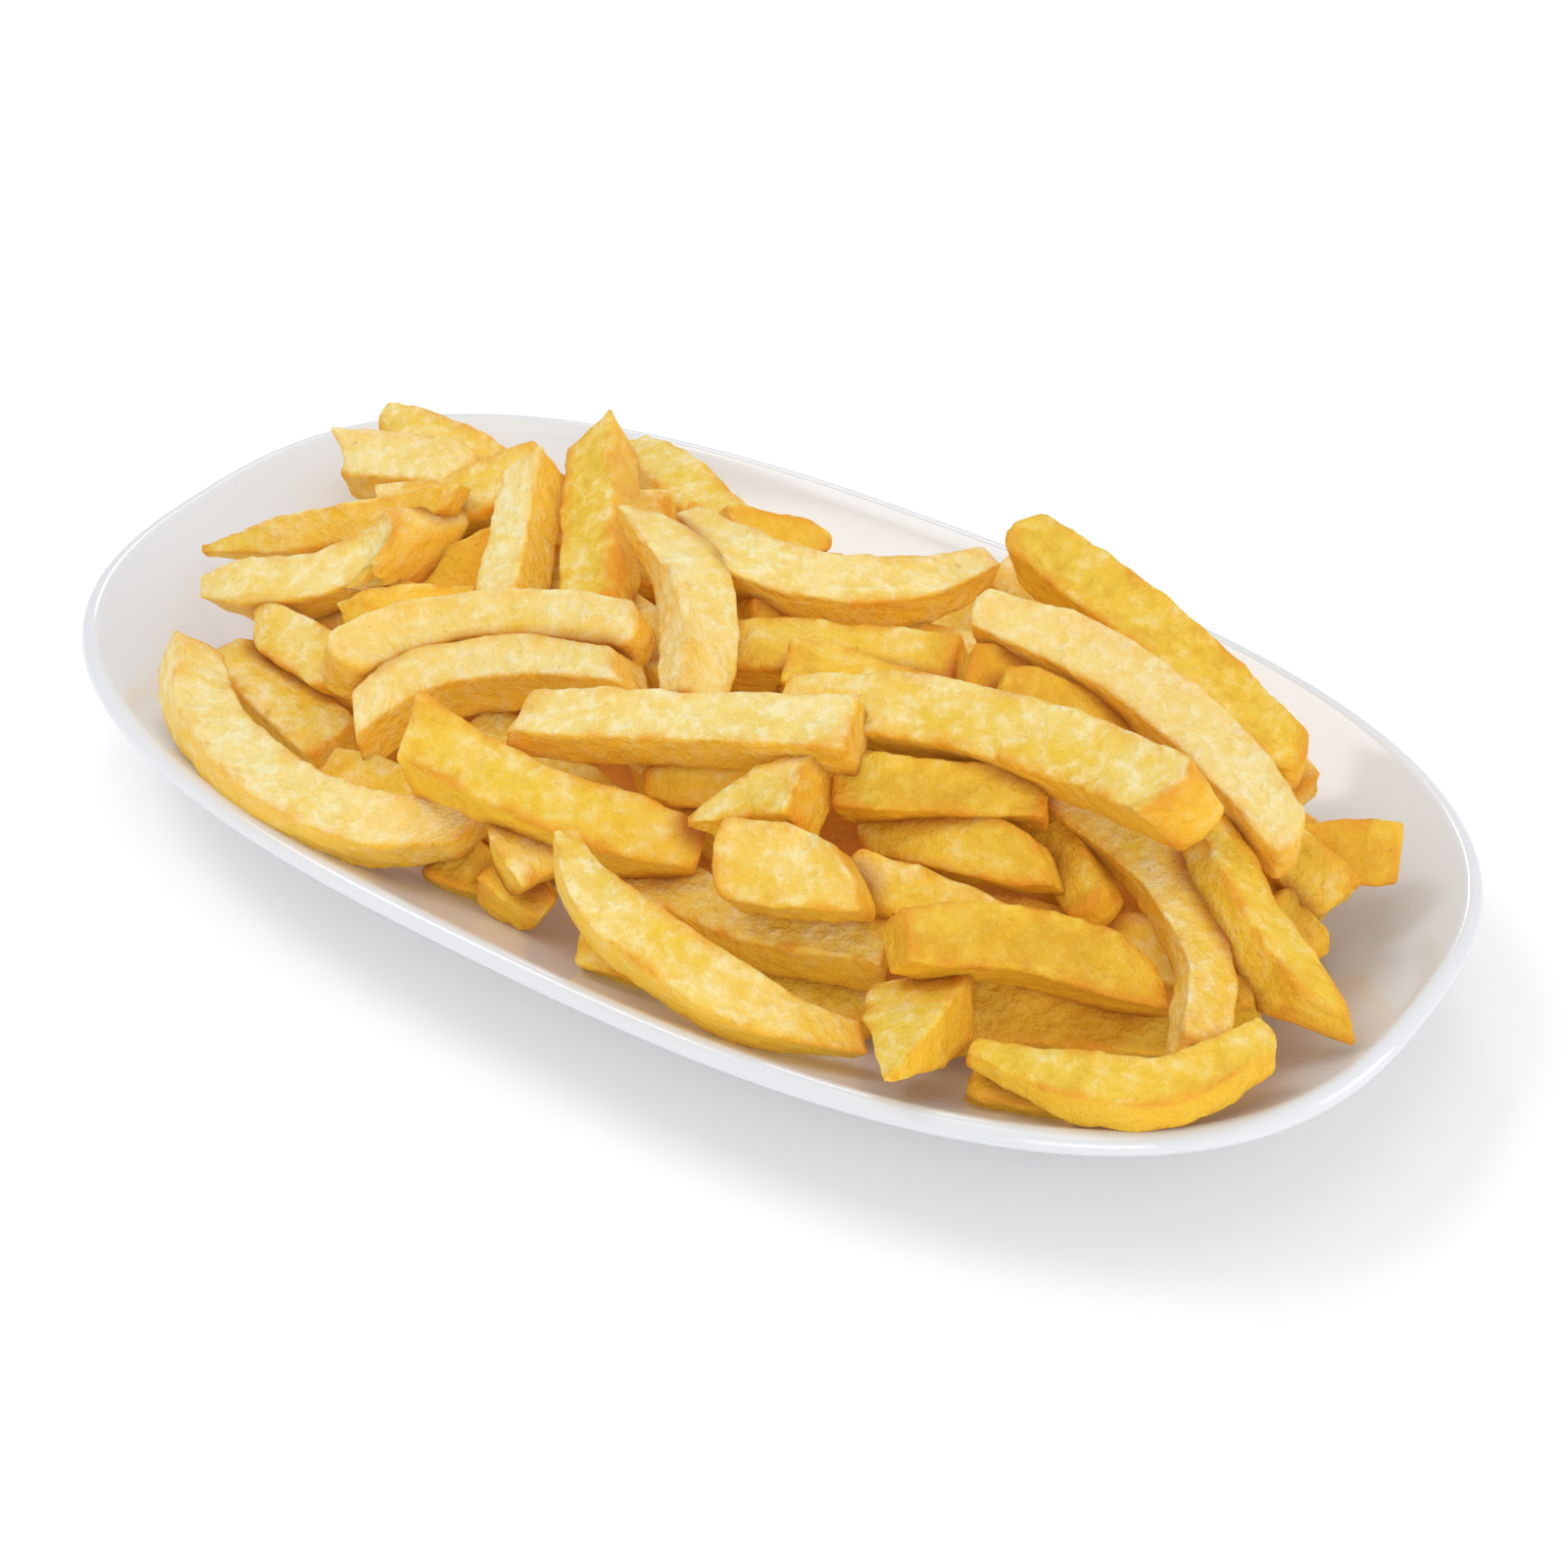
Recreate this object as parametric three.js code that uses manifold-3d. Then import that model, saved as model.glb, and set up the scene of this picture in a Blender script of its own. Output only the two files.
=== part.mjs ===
// A portion of thick-cut french fries heaped on an oval porcelain dish.
// Millimetres, +Z up, +X along the dish, origin under the middle of its foot ring.

import * as THREE from 'three';
import { mergeVertices } from 'three/addons/utils/BufferGeometryUtils.js';
import Module from 'manifold-3d';

// Driving dimensions of the dish
const LENGTH = 260;
const WIDTH = 148;
const HEIGHT = 26;
const OVAL_POWER = 2.65;
const WALL = 3.8;
const WALL_CURVE = 1.6;
const RIM_ANGLE = THREE.MathUtils.degToRad(40);
const FLOOR_TOP = 6.5;
const FLOOR_HALF_WIDTH = 32;
const FOOT = { inside: 32, outside: 36, draft: 0.7, shoulder: 2 };

// How finely the dish is faceted
const SIDES = 64;
const INSIDE_STEPS = 6;
const OUTSIDE_STEPS = 4;
const LIP_STEPS = 6;

// Driving dimensions of the heap
const HEAP_GAP = 0.3;
const FRY_STEPS = { hidden: 2, straight: 4, bent: 6 };
const CORE_STEPS = 6;
const CORE = { halfWidth: 48, top: 37, drop: 25, curve: 1.8, bed: 2 };

// The eye that the fries' centrelines are drawn from: a square picture, in pixels
const EYE = {
  elevation: THREE.MathUtils.degToRad(37.8),
  azimuth: THREE.MathUtils.degToRad(34.9),
  distance: 538,
  aim: new THREE.Vector3(-2.5, 16.1, 0),
  focal: 3000,
  middle: 800,
};

// How the heap settles: contact is how near two fries lie, as a share of their thickness, share is how much
// of an overlap one round takes out, memory is the pull back to the rest height, and weight sinks a fry.
// lift and ease take a fry off the dish and let it down again
const SETTLE = {
  samples: 9,
  rounds: 120,
  contact: 0.9,
  share: 0.35,
  memory: 0.02,
  weight: 0.05,
  lift: 0.7,
  ease: 0.98,
};

// size: across the face that shows, and its depth; turn: how far that face looks up from the eye, in degrees;
// ends: taper; slant: how far an end is cut askew, + where the upper edge runs on
const PLAIN_FRY = { size: [10, 9], turn: 20, ends: [0.9, 0.9], slant: [0, 0] };
const HIDDEN_FRY = { size: [10, 10], turn: 25, ends: [0.85, 0.85], slant: [0, 0], plan: true };

// Fries that the heap hides. path: ends in plan; rest: height of each end
const HIDDEN = [
  { path: [[15, 52], [75, 44]], rest: [18, 18] },
  { path: [[-45, 46], [10, 50]], rest: [19, 19] },
  { path: [[-78, 38], [-32, 28]], rest: [18, 22] },
  { path: [[35, 46], [82, 28]], rest: [26, 24] },
  { path: [[-98, 18], [-62, 34]], rest: [20, 20] },
  { path: [[5, 28], [55, 22]], rest: [32, 32] },
  { path: [[-96, -4], [-62, 12]], rest: [21, 23] },
  { path: [[-90, -18], [-55, -14]], rest: [22, 24] },
  { path: [[-48, 6], [-6, -8]], rest: [32, 33] },
  { path: [[-8, 10], [30, -6]], rest: [33, 33] },
  { path: [[24, 2], [62, 12]], rest: [33, 30] },
  { path: [[62, -26], [96, -6]], rest: [23, 22] },
  { path: [[-2, -24], [42, -34]], rest: [21, 21] },
  { path: [[-34, -30], [6, -36]], rest: [27, 25] },
  { path: [[84, 12], [104, -10]], rest: [20, 20] },
  { path: [[28, 38], [90, 22]], rest: [34, 28] },
  { path: [[-34, 28], [-4, 42]], rest: [26, 22] },
  { path: [[-6, 34], [34, 40]], rest: [24, 24] },
  { path: [[-42, 18], [2, 26]], rest: [33, 32] },
  { path: [[18, 16], [62, 28]], rest: [35, 30] },
  { path: [[-72, 18], [-40, 34]], rest: [27, 25] },
  { path: [[-86, 4], [-58, 24]], rest: [25, 26] },
  { path: [[62, 16], [98, 24]], rest: [28, 22] },
  { path: [[24, 44], [62, 38]], rest: [38, 35] },
  { path: [[50, 40], [92, 30]], rest: [33, 25] },
].map((row) => ({ ...HIDDEN_FRY, ...row }));

// Fries that show, from the back of the heap to the front, where a later fry lies over an earlier one.
// path: centreline in the picture; rest: height of each end
const SHOWN = [
  // Back left corner
  { path: [[388, 441], [520, 490]], rest: [29, 29], size: [9.5, 9], turn: 30, ends: [0.5, 0.9] },
  {
    path: [[355, 474], [490, 486]],
    rest: [30, 33], size: [10, 9.5], turn: 35, ends: [0.9, 0.5], slant: [0.4, 0],
  },
  // Back wall
  { path: [[660, 456], [770, 560]], rest: [30, 27], size: [9.5, 9], turn: 30, ends: [0.45, 1] },
  { path: [[740, 548], [845, 555]], rest: [24, 24], size: [8, 8], ends: [1, 0.45] },
  { path: [[455, 525], [560, 478]], rest: [36, 34], size: [10, 9.5], turn: 30 },
  { path: [[430, 600], [520, 560]], rest: [30, 30], turn: 0 },
  // Left end
  {
    path: [[210, 567], [320, 552], [470, 510]],
    rest: [23, 37], size: [7.5, 9], ends: [0.3, 0.9], slant: [0, 0.4],
  },
  {
    path: [[216, 604], [325, 600], [430, 560]],
    rest: [28, 40], size: [10, 10], turn: 35, ends: [0.5, 1.1], slant: [0.3, 0],
  },
  { path: [[362, 630], [520, 628]], rest: [30, 30], size: [9, 9], ends: [0.8, 0.9] },
  // Standing pair at the back
  { path: [[546, 478], [515, 640]], rest: [46, 36], size: [10.5, 10], turn: 40, ends: [0.85, 1] },
  { path: [[616, 429], [607, 640]], rest: [48, 38], size: [10, 10], turn: 30, ends: [0.55, 1] },
  // Middle of the back
  { path: [[755, 634], [815, 632]], rest: [32, 32], size: [9, 9], turn: 0 },
  {
    path: [[698, 528], [760, 580], [850, 605], [940, 603], [1008, 578]],
    rest: [44, 42], turn: 40, ends: [0.6, 0.6], slant: [0, 0.3],
  },
  { path: [[740, 668], [982, 684]], rest: [37, 36], size: [10, 10], turn: 30, ends: [0.9, 1] },
  { path: [[805, 682], [960, 722]], rest: [41, 35], size: [9, 9] },
  { path: [[666, 538], [705, 590], [712, 655], [706, 720]], rest: [46, 38], turn: 30, ends: [0.55, 0.9] },
  // Right end, back
  {
    path: [[1040, 552], [1180, 658], [1328, 788]],
    rest: [46, 37], size: [10.5, 10], turn: 30, ends: [0.9, 0.85],
  },
  { path: [[985, 685], [1100, 720]], rest: [35, 32] },
  { path: [[1015, 712], [1160, 755]], rest: [38, 34], turn: 30 },
  { path: [[1330, 868], [1425, 870]], rest: [26, 26], size: [9, 9], turn: 0, ends: [0.9, 0.95] },
  { path: [[1265, 835], [1362, 926]], rest: [32, 26], ends: [0.9, 0.8] },
  { path: [[1300, 915], [1345, 980]], rest: [26, 25], size: [6, 6], ends: [1, 0.6] },
  { path: [[1225, 890], [1262, 1040]], rest: [24, 20], size: [9, 9], turn: 0, ends: [0.9, 0.8] },
  {
    path: [[1225, 850], [1285, 960], [1348, 1040]],
    rest: [34, 26], size: [10, 10], turn: 40, ends: [0.85, 1], slant: [0, 0.4],
  },
  // Under the middle
  { path: [[1060, 840], [1122, 938]], rest: [28, 28], turn: 0 },
  { path: [[855, 860], [1015, 932]], rest: [26, 26], turn: 10 },
  {
    path: [[885, 842], [1073, 885]],
    rest: [33, 33], size: [10, 10], turn: 10, ends: [0.8, 0.7], slant: [0, -0.4],
  },
  { path: [[750, 985], [895, 1035]], rest: [19, 19], size: [9, 9], ends: [0.8, 0.8] },
  { path: [[620, 885], [760, 945], [905, 975]], rest: [27, 27], turn: 30, ends: [0.8, 0.9] },
  { path: [[930, 1030], [1200, 1060]], rest: [22, 22], size: [10, 10] },
  {
    path: [[914, 962], [1050, 970], [1188, 1012]],
    rest: [32, 31], size: [10.5, 10], ends: [0.85, 0.5], slant: [0, -0.6],
  },
  {
    path: [[1085, 820], [1175, 890], [1225, 985], [1217, 1078]],
    rest: [36, 28], size: [8.5, 8.5], turn: 35, ends: [0.9, 0.85],
  },
  {
    path: [[996, 628], [1110, 675], [1220, 755], [1322, 872]],
    rest: [48, 36], size: [10, 10], turn: 25, ends: [0.9, 0.85],
  },
  { path: [[855, 800], [1068, 815]], rest: [40, 40], size: [10, 10], turn: 10 },
  { path: [[590, 790], [790, 805]], rest: [30, 30], turn: 0 },
  // Front left
  { path: [[228, 672], [345, 775]], rest: [25, 22], turn: 30, ends: [0.8, 0.9] },
  {
    path: [[268, 640], [362, 695]],
    rest: [30, 30], size: [9, 9], turn: 10, ends: [0.6, 0.9], slant: [0.6, 0],
  },
  {
    path: [[340, 688], [420, 652], [520, 638], [660, 652]],
    rest: [33, 41], size: [10, 10], turn: 30, ends: [0.95, 0.9], slant: [0.2, 0],
  },
  { path: [[335, 800], [510, 840]], rest: [24, 26] },
  {
    path: [[364, 744], [424, 702], [520, 683], [645, 690]],
    rest: [33, 43], size: [10, 10], turn: 30, ends: [0.85, 0.85], slant: [-0.5, 0],
  },
  { path: [[440, 890], [508, 912]], rest: [24, 24], size: [9, 9], turn: 10 },
  {
    path: [[196, 678], [207, 735], [270, 806], [370, 853], [490, 858]],
    rest: [30, 31], size: [10.5, 10], turn: 25, ends: [0.85, 0.75], slant: [0, 0.4],
  },
  { path: [[505, 890], [558, 942]], rest: [24, 24], size: [9, 9], turn: 10, ends: [0.9, 0.8] },
  { path: [[520, 845], [550, 900]], rest: [27, 26], size: [9, 8], turn: 10, ends: [0.7, 0.9] },
  { path: [[594, 976], [740, 1012]], rest: [23, 16], size: [8, 8], turn: 10 },
  // Top of the heap
  { path: [[424, 756], [560, 825], [714, 872]], rest: [38, 35], size: [11, 10], ends: [1.05, 0.6] },
  {
    path: [[800, 722], [960, 738], [1090, 775], [1218, 828]],
    rest: [44, 44], size: [10.5, 10], turn: 25, ends: [0.9, 0.95],
  },
  { path: [[532, 735], [878, 750]], rest: [42, 48], size: [10.5, 10], turn: 25, ends: [0.8, 1.05] },
  {
    path: [[712, 834], [828, 812]],
    rest: [38, 40], size: [9.5, 9], turn: 30, ends: [0.45, 1.1], slant: [0, 0.2],
  },
  { path: [[746, 880], [884, 902]], rest: [36, 36], size: [10.5, 10], ends: [0.85, 0.6], slant: [0, -0.5] },
  // Front
  {
    path: [[576, 852], [600, 910], [680, 978], [780, 1036], [876, 1062]],
    rest: [36, 25], size: [10, 8.5], ends: [0.6, 0.6],
  },
  { path: [[952, 1000], [902, 1113]], rest: [14, 20], size: [10.5, 10], turn: 30, ends: [1, 0.4] },
  { path: [[990, 1128], [1085, 1155]], rest: [22, 22], size: [9, 8], turn: 10, ends: [0.8, 0.8] },
  {
    path: [[992, 1072], [1080, 1103], [1190, 1114], [1298, 1062]],
    rest: [28, 28], size: [9, 8.5], turn: 30, ends: [0.5, 0.8],
  },
].map((row) => ({ ...PLAIN_FRY, ...row }));

const UP = new THREE.Vector3(0, 0, 1);
const wasm = await Module();
wasm.setup();

// The oval dish

// Half length of the oval ring whose half width is r: the rim keeps one width all round the flat floor
function halfLength(r) {
  const extra = (LENGTH - WIDTH) / 2;
  return r + extra * Math.min(1, r / FLOOR_HALF_WIDTH);
}

// Half width of the oval ring that passes through (x, y), by halving
function ringThrough(x, y) {
  const halvings = 26;
  let low = 1e-3;
  let high = LENGTH;
  for (let i = 0; i < halvings; i++) {
    const r = (low + high) / 2;
    const outside = Math.abs(x / halfLength(r)) ** OVAL_POWER + Math.abs(y / r) ** OVAL_POWER > 1;
    if (outside) low = r;
    else high = r;
  }
  return (low + high) / 2;
}

const lip = WALL / 2;
const lipMiddle = { r: WIDTH / 2 - lip, z: HEIGHT - lip };
const wallEnd = {
  r: lipMiddle.r - lip * Math.sin(RIM_ANGLE),
  z: lipMiddle.z + lip * Math.cos(RIM_ANGLE),
};

// Height and slope of the inside of the dish on the ring of half width r
function insideAt(r) {
  const run = wallEnd.r - FLOOR_HALF_WIDTH;
  const rise = wallEnd.z - FLOOR_TOP;
  const s = THREE.MathUtils.clamp((r - FLOOR_HALF_WIDTH) / run, 0, 1);
  const slope = (rise * WALL_CURVE / run) * s ** (WALL_CURVE - 1);
  return { z: FLOOR_TOP + rise * s ** WALL_CURVE, slope };
}

// The inside profile from the edge of the floor to the lip, moved by a distance along its normal
function insideProfile(offset, steps, start = FLOOR_HALF_WIDTH) {
  const points = [];
  for (let i = 0; i <= steps; i++) {
    const r = THREE.MathUtils.lerp(start, wallEnd.r, i / steps);
    const { z, slope } = insideAt(r);
    const tilt = Math.atan(slope);
    points.push(new THREE.Vector2(r - offset * Math.sin(tilt), z + offset * Math.cos(tilt)));
  }
  return points;
}

// A closed body turned from a profile (half width, height) and stretched to the oval
function ovalBody(profile) {
  const geometry = new THREE.LatheGeometry(profile, SIDES);
  geometry.rotateX(Math.PI / 2);
  const position = geometry.attributes.position;
  for (let i = 0; i < position.count; i++) {
    const r = Math.hypot(position.getX(i), position.getY(i));
    const angle = Math.atan2(position.getY(i), position.getX(i));
    const along = Math.sign(Math.cos(angle)) * Math.abs(Math.cos(angle)) ** (2 / OVAL_POWER);
    const across = Math.sign(Math.sin(angle)) * Math.abs(Math.sin(angle)) ** (2 / OVAL_POWER);
    position.setXY(i, along * halfLength(r), across * r);
  }
  return weld(geometry);
}

// Only shared positions are left, without the triangles that have no area
function weld(geometry) {
  geometry.deleteAttribute('normal');
  geometry.deleteAttribute('uv');
  const tolerance = 1e-4;
  const merged = mergeVertices(geometry, tolerance);
  const index = merged.index.array;
  const kept = [];
  for (let i = 0; i < index.length; i += 3) {
    const [a, b, c] = [index[i], index[i + 1], index[i + 2]];
    if (a !== b && b !== c && c !== a) kept.push(a, b, c);
  }
  merged.setIndex(kept);
  return merged;
}

function plateGeometry() {
  const underside = FLOOR_TOP - WALL;
  const outside = insideProfile(-WALL, OUTSIDE_STEPS, FOOT.outside + FOOT.shoulder);
  const rim = [];
  for (let i = 1; i < LIP_STEPS; i++) {
    const angle = RIM_ANGLE - Math.PI / 2 + (Math.PI * i) / LIP_STEPS;
    rim.push(new THREE.Vector2(lipMiddle.r + lip * Math.cos(angle), lipMiddle.z + lip * Math.sin(angle)));
  }
  const inside = insideProfile(0, INSIDE_STEPS).reverse();
  return ovalBody([
    new THREE.Vector2(0, underside),
    new THREE.Vector2(FOOT.inside - FOOT.draft, underside),
    new THREE.Vector2(FOOT.inside, 0),
    new THREE.Vector2(FOOT.outside, 0),
    new THREE.Vector2(FOOT.outside + FOOT.draft, underside),
    ...outside,
    ...rim,
    ...inside,
    new THREE.Vector2(0, FLOOR_TOP),
  ]);
}

// Everything that is free of the dish: the hollow, and the air over the lip
function roomGeometry() {
  const sky = 4 * HEIGHT;
  const far = WIDTH;
  return ovalBody([
    new THREE.Vector2(0, FLOOR_TOP + HEAP_GAP),
    ...insideProfile(HEAP_GAP, INSIDE_STEPS),
    new THREE.Vector2(lipMiddle.r, HEIGHT + HEAP_GAP),
    new THREE.Vector2(far, HEIGHT + HEAP_GAP),
    new THREE.Vector2(far, sky),
    new THREE.Vector2(0, sky),
  ]);
}

// The settled heap

const back = new THREE.Vector3(
  Math.sin(EYE.azimuth) * Math.cos(EYE.elevation),
  -Math.cos(EYE.azimuth) * Math.cos(EYE.elevation),
  Math.sin(EYE.elevation),
);
const right = new THREE.Vector3(Math.cos(EYE.azimuth), Math.sin(EYE.azimuth), 0);
const pictureUp = new THREE.Vector3().crossVectors(back, right);
const eye = EYE.aim.clone().addScaledVector(back, EYE.distance);

// The line of sight through a picture point: where it meets the table, and its run for each unit of height
function sightLine([x, y]) {
  const run = back.clone().negate();
  run.addScaledVector(right, (x - EYE.middle) / EYE.focal);
  run.addScaledVector(pictureUp, (EYE.middle - y) / EYE.focal);
  run.divideScalar(run.z);
  return { foot: eye.clone().addScaledVector(run, -eye.z), run };
}

// A fry with a line to move along at each sample, its end heights and its lift off the dish
function layOut(row) {
  const points = row.path.map(([x, y]) => new THREE.Vector3(x, y, 0));
  const curve = points.length > 2 ? new THREE.CatmullRomCurve3(points) : new THREE.LineCurve3(...points);
  const lines = curve.getSpacedPoints(SETTLE.samples - 1).map((p) => (
    row.plan ? { foot: p, run: UP } : sightLine([p.x, p.y])
  ));
  return { ...row, lines, radius: (row.size[0] + row.size[1]) / 4, heights: [...row.rest], lifts: [0, 0] };
}

function samplesOf(fry) {
  const last = fry.lines.length - 1;
  return fry.lines.map(({ foot, run }, i) => {
    const point = foot.clone().addScaledVector(run, THREE.MathUtils.lerp(...fry.heights, i / last));
    point.z += THREE.MathUtils.lerp(...fry.lifts, i / last);
    return point;
  });
}

// The part of a set of sample moves that each end takes: the largest, weighted by nearness to that end
function endMoves(moves) {
  const last = moves.length - 1;
  const largest = (weight) => moves.reduce((best, move, i) => (
    Math.abs(move * weight(i)) > Math.abs(best) ? move * weight(i) : best
  ), 0);
  return [largest((i) => 1 - i / last), largest((i) => i / last)];
}

// Height of the packed middle of the heap on the ring of half width r
function coreTop(r) {
  return r <= CORE.halfWidth ? CORE.top - CORE.drop * (r / CORE.halfWidth) ** CORE.curve : 0;
}

// Fries press each other apart along their lines, the later one up and the earlier one down,
// keep near their rest heights, and are lifted off the dish
function settle(fries) {
  for (let round = 0; round < SETTLE.rounds; round++) {
    const samples = fries.map(samplesOf);
    const raise = samples.map((points) => points.map(() => 0));
    const lower = samples.map((points) => points.map(() => 0));
    for (let later = 1; later < fries.length; later++) {
      for (let earlier = 0; earlier < later; earlier++) {
        const reach = SETTLE.contact * (fries[later].radius + fries[earlier].radius);
        samples[later].forEach((p, i) => samples[earlier].forEach((q, j) => {
          const overlap = reach - p.distanceTo(q);
          if (overlap <= 0) return;
          raise[later][i] = Math.max(raise[later][i], overlap);
          lower[earlier][j] = Math.max(lower[earlier][j], overlap);
        }));
      }
    }
    fries.forEach((fry, k) => {
      const push = endMoves(samples[k].map((p, i) => {
        const bed = Math.max(0, coreTop(ringThrough(p.x, p.y)) + CORE.bed - p.z);
        return SETTLE.share * (Math.max(bed, raise[k][i]) - lower[k][i]);
      }));
      const clear = endMoves(samples[k].map((p) => {
        const { z, slope } = insideAt(ringThrough(p.x, p.y));
        return Math.max(0, z + (fry.radius + HEAP_GAP) * Math.hypot(1, slope) - p.z);
      }));
      for (const end of [0, 1]) {
        fry.heights[end] += push[end] - SETTLE.weight;
        fry.heights[end] += SETTLE.memory * (fry.rest[end] - fry.heights[end]);
        fry.lifts[end] = SETTLE.ease * fry.lifts[end] + SETTLE.lift * clear[end];
      }
    });
  }
  return fries;
}

// A square-cut stick bent along its settled centreline, tapered and cut at its ends
function fryGeometry(fry) {
  const curve = new THREE.CatmullRomCurve3(samplesOf(fry));
  const shownSteps = fry.path.length > 2 ? FRY_STEPS.bent : FRY_STEPS.straight;
  const steps = fry.plan ? FRY_STEPS.hidden : shownSteps;
  const geometry = new THREE.BoxGeometry(1, 1, 1, 1, 1, steps);
  const [width, depth] = fry.size;
  const frames = [];
  for (let i = 0; i <= steps; i++) {
    const at = curve.getPointAt(i / steps);
    const along = curve.getTangentAt(i / steps);
    const facing = eye.clone().sub(at).projectOnPlane(along).normalize();
    frames.push({ at, along, facing, side: new THREE.Vector3().crossVectors(along, facing) });
  }
  const upper = frames[steps / 2].side.dot(pictureUp) < 0 ? -1 : 1;
  const turn = upper * THREE.MathUtils.degToRad(fry.turn);
  const position = geometry.attributes.position;
  for (let i = 0; i < position.count; i++) {
    const s = position.getZ(i) + 0.5;
    const { at, along, facing, side } = frames[Math.round(s * steps)];
    const end = s < 0.5 ? 0 : 1;
    const nearEnd = Math.max(0, Math.abs(s - 0.5) * 4 - 1);
    const taper = THREE.MathUtils.lerp(1, fry.ends[end], nearEnd);
    const outward = end === 0 ? -1 : 1;
    const cut = nearEnd * fry.slant[end] * outward * upper * width * position.getY(i);
    const u = depth * taper * position.getX(i);
    const v = width * taper * position.getY(i);
    const point = at.clone().addScaledVector(along, cut);
    point.addScaledVector(facing, u * Math.cos(turn) - v * Math.sin(turn));
    point.addScaledVector(side, u * Math.sin(turn) + v * Math.cos(turn));
    position.setXYZ(i, point.x, point.y, point.z);
  }
  return weld(geometry);
}

// The packed middle of the heap, which the fries are pressed into
function coreGeometry() {
  const profile = [new THREE.Vector2(0, 0), new THREE.Vector2(CORE.halfWidth, 0)];
  for (let i = 0; i <= CORE_STEPS; i++) {
    const r = CORE.halfWidth * (1 - i / CORE_STEPS);
    profile.push(new THREE.Vector2(r, coreTop(r)));
  }
  return ovalBody(profile);
}

function solidOf(geometry) {
  const vertProperties = new Float32Array(geometry.attributes.position.array);
  const triVerts = new Uint32Array(geometry.index.array);
  return new wasm.Manifold(new wasm.Mesh({ numProp: 3, vertProperties, triVerts }));
}

function geometryOf(solid) {
  const { vertProperties, triVerts } = solid.getMesh();
  const geometry = new THREE.BufferGeometry();
  geometry.setAttribute('position', new THREE.BufferAttribute(vertProperties, 3));
  geometry.setIndex(new THREE.BufferAttribute(triVerts, 1));
  return geometry;
}

// The fries and the core joined and kept clear of the dish: the one body that holds the most
function heapGeometry() {
  const fries = settle([...HIDDEN, ...SHOWN].map(layOut));
  const sticks = fries.map((fry) => solidOf(fryGeometry(fry)));
  const joined = sticks.reduce((whole, stick) => whole.add(stick), solidOf(coreGeometry()));
  const bodies = joined.intersect(solidOf(roomGeometry())).decompose();
  bodies.sort((a, b) => b.volume() - a.volume());
  return geometryOf(bodies[0]);
}

function piece(name, geometry, color, roughness) {
  geometry.computeVertexNormals();
  const mesh = new THREE.Mesh(geometry, new THREE.MeshStandardMaterial({ color, roughness, metalness: 0 }));
  mesh.name = name;
  return mesh;
}

const portion = new THREE.Group();
portion.add(piece('plate', plateGeometry(), 0xf2f2f4, 0.12));
portion.add(piece('fries', heapGeometry(), 0xe6b94c, 0.55));

export default portion;
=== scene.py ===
"""A portion of thick-cut fries heaped on an oval porcelain dish.

Sizes are millimetres in the dish's own frame, +Z up and +X along the dish, and become metres where a mesh
is made. Finishes and the studio are in metres. Each fry that shows is laid along a centreline drawn in the
picture. The fries then settle on each other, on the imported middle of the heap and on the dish, and are
modelled one by one.
"""

import logging
import math
from dataclasses import dataclass, field
from enum import Enum
from functools import lru_cache
from typing import Any, NamedTuple

import bmesh
import bpy
import numpy as np
from mathutils import Matrix, Vector, noise


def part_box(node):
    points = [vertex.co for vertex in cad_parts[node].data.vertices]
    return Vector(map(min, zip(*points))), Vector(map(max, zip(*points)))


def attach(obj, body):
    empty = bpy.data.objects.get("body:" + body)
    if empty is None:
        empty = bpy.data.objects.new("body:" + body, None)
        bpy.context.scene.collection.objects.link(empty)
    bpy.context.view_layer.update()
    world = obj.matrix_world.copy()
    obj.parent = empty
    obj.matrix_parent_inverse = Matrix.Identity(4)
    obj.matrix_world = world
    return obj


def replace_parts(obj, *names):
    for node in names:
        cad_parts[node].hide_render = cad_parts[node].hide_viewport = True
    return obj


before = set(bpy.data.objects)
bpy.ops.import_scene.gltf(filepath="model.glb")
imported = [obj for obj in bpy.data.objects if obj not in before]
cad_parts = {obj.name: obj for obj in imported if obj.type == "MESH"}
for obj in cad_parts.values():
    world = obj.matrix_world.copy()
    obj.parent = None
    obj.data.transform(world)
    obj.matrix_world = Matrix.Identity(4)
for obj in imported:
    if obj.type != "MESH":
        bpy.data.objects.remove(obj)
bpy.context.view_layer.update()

LOG = logging.getLogger("fries_portion")
MM = 0.001
TINY = 1e-6
Colour = tuple[float, float, float, float]
Triple = tuple[float, float, float]
Pair = tuple[float, float]
Socket = bpy.types.NodeSocket


class Fried(Enum):
    """How far a fry is fried: how deep the tone of its colour is."""

    PALE = 0.17
    LIGHT = 0.44
    GOLDEN = 0.68
    DEEP = 1.0


PALE, LIGHT, GOLDEN, DEEP = Fried


class Ramp(NamedTuple):
    """Spreads the values from low to high over the range from start to end, and holds the others there."""

    low: float = 0.0
    high: float = 1.0
    start: float = 0.0
    end: float = 1.0


def direction(azimuth: float, elevation: float) -> np.ndarray:
    """The direction towards something at an azimuth and an elevation, both in radians."""
    flat = math.cos(elevation)
    return np.array((math.sin(azimuth) * flat, -math.cos(azimuth) * flat, math.sin(elevation)))


def new_object(name: str, data: Any) -> bpy.types.Object:
    """Adds an object to the scene.

    Args:
        name: The object's name.
        data: Its mesh, light or camera.

    Returns:
        The object.
    """
    made = bpy.data.objects.new(name, data)
    bpy.context.scene.collection.objects.link(made)
    return made


def new_mesh(name: str, body: bmesh.types.BMesh) -> bpy.types.Mesh:
    """Turns a modelled body into a mesh, and frees the body.

    Args:
        name: The mesh's name.
        body: The body, in metres.

    Returns:
        The mesh.
    """
    mesh = bpy.data.meshes.new(name)
    body.to_mesh(mesh)
    body.free()
    return mesh


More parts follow.
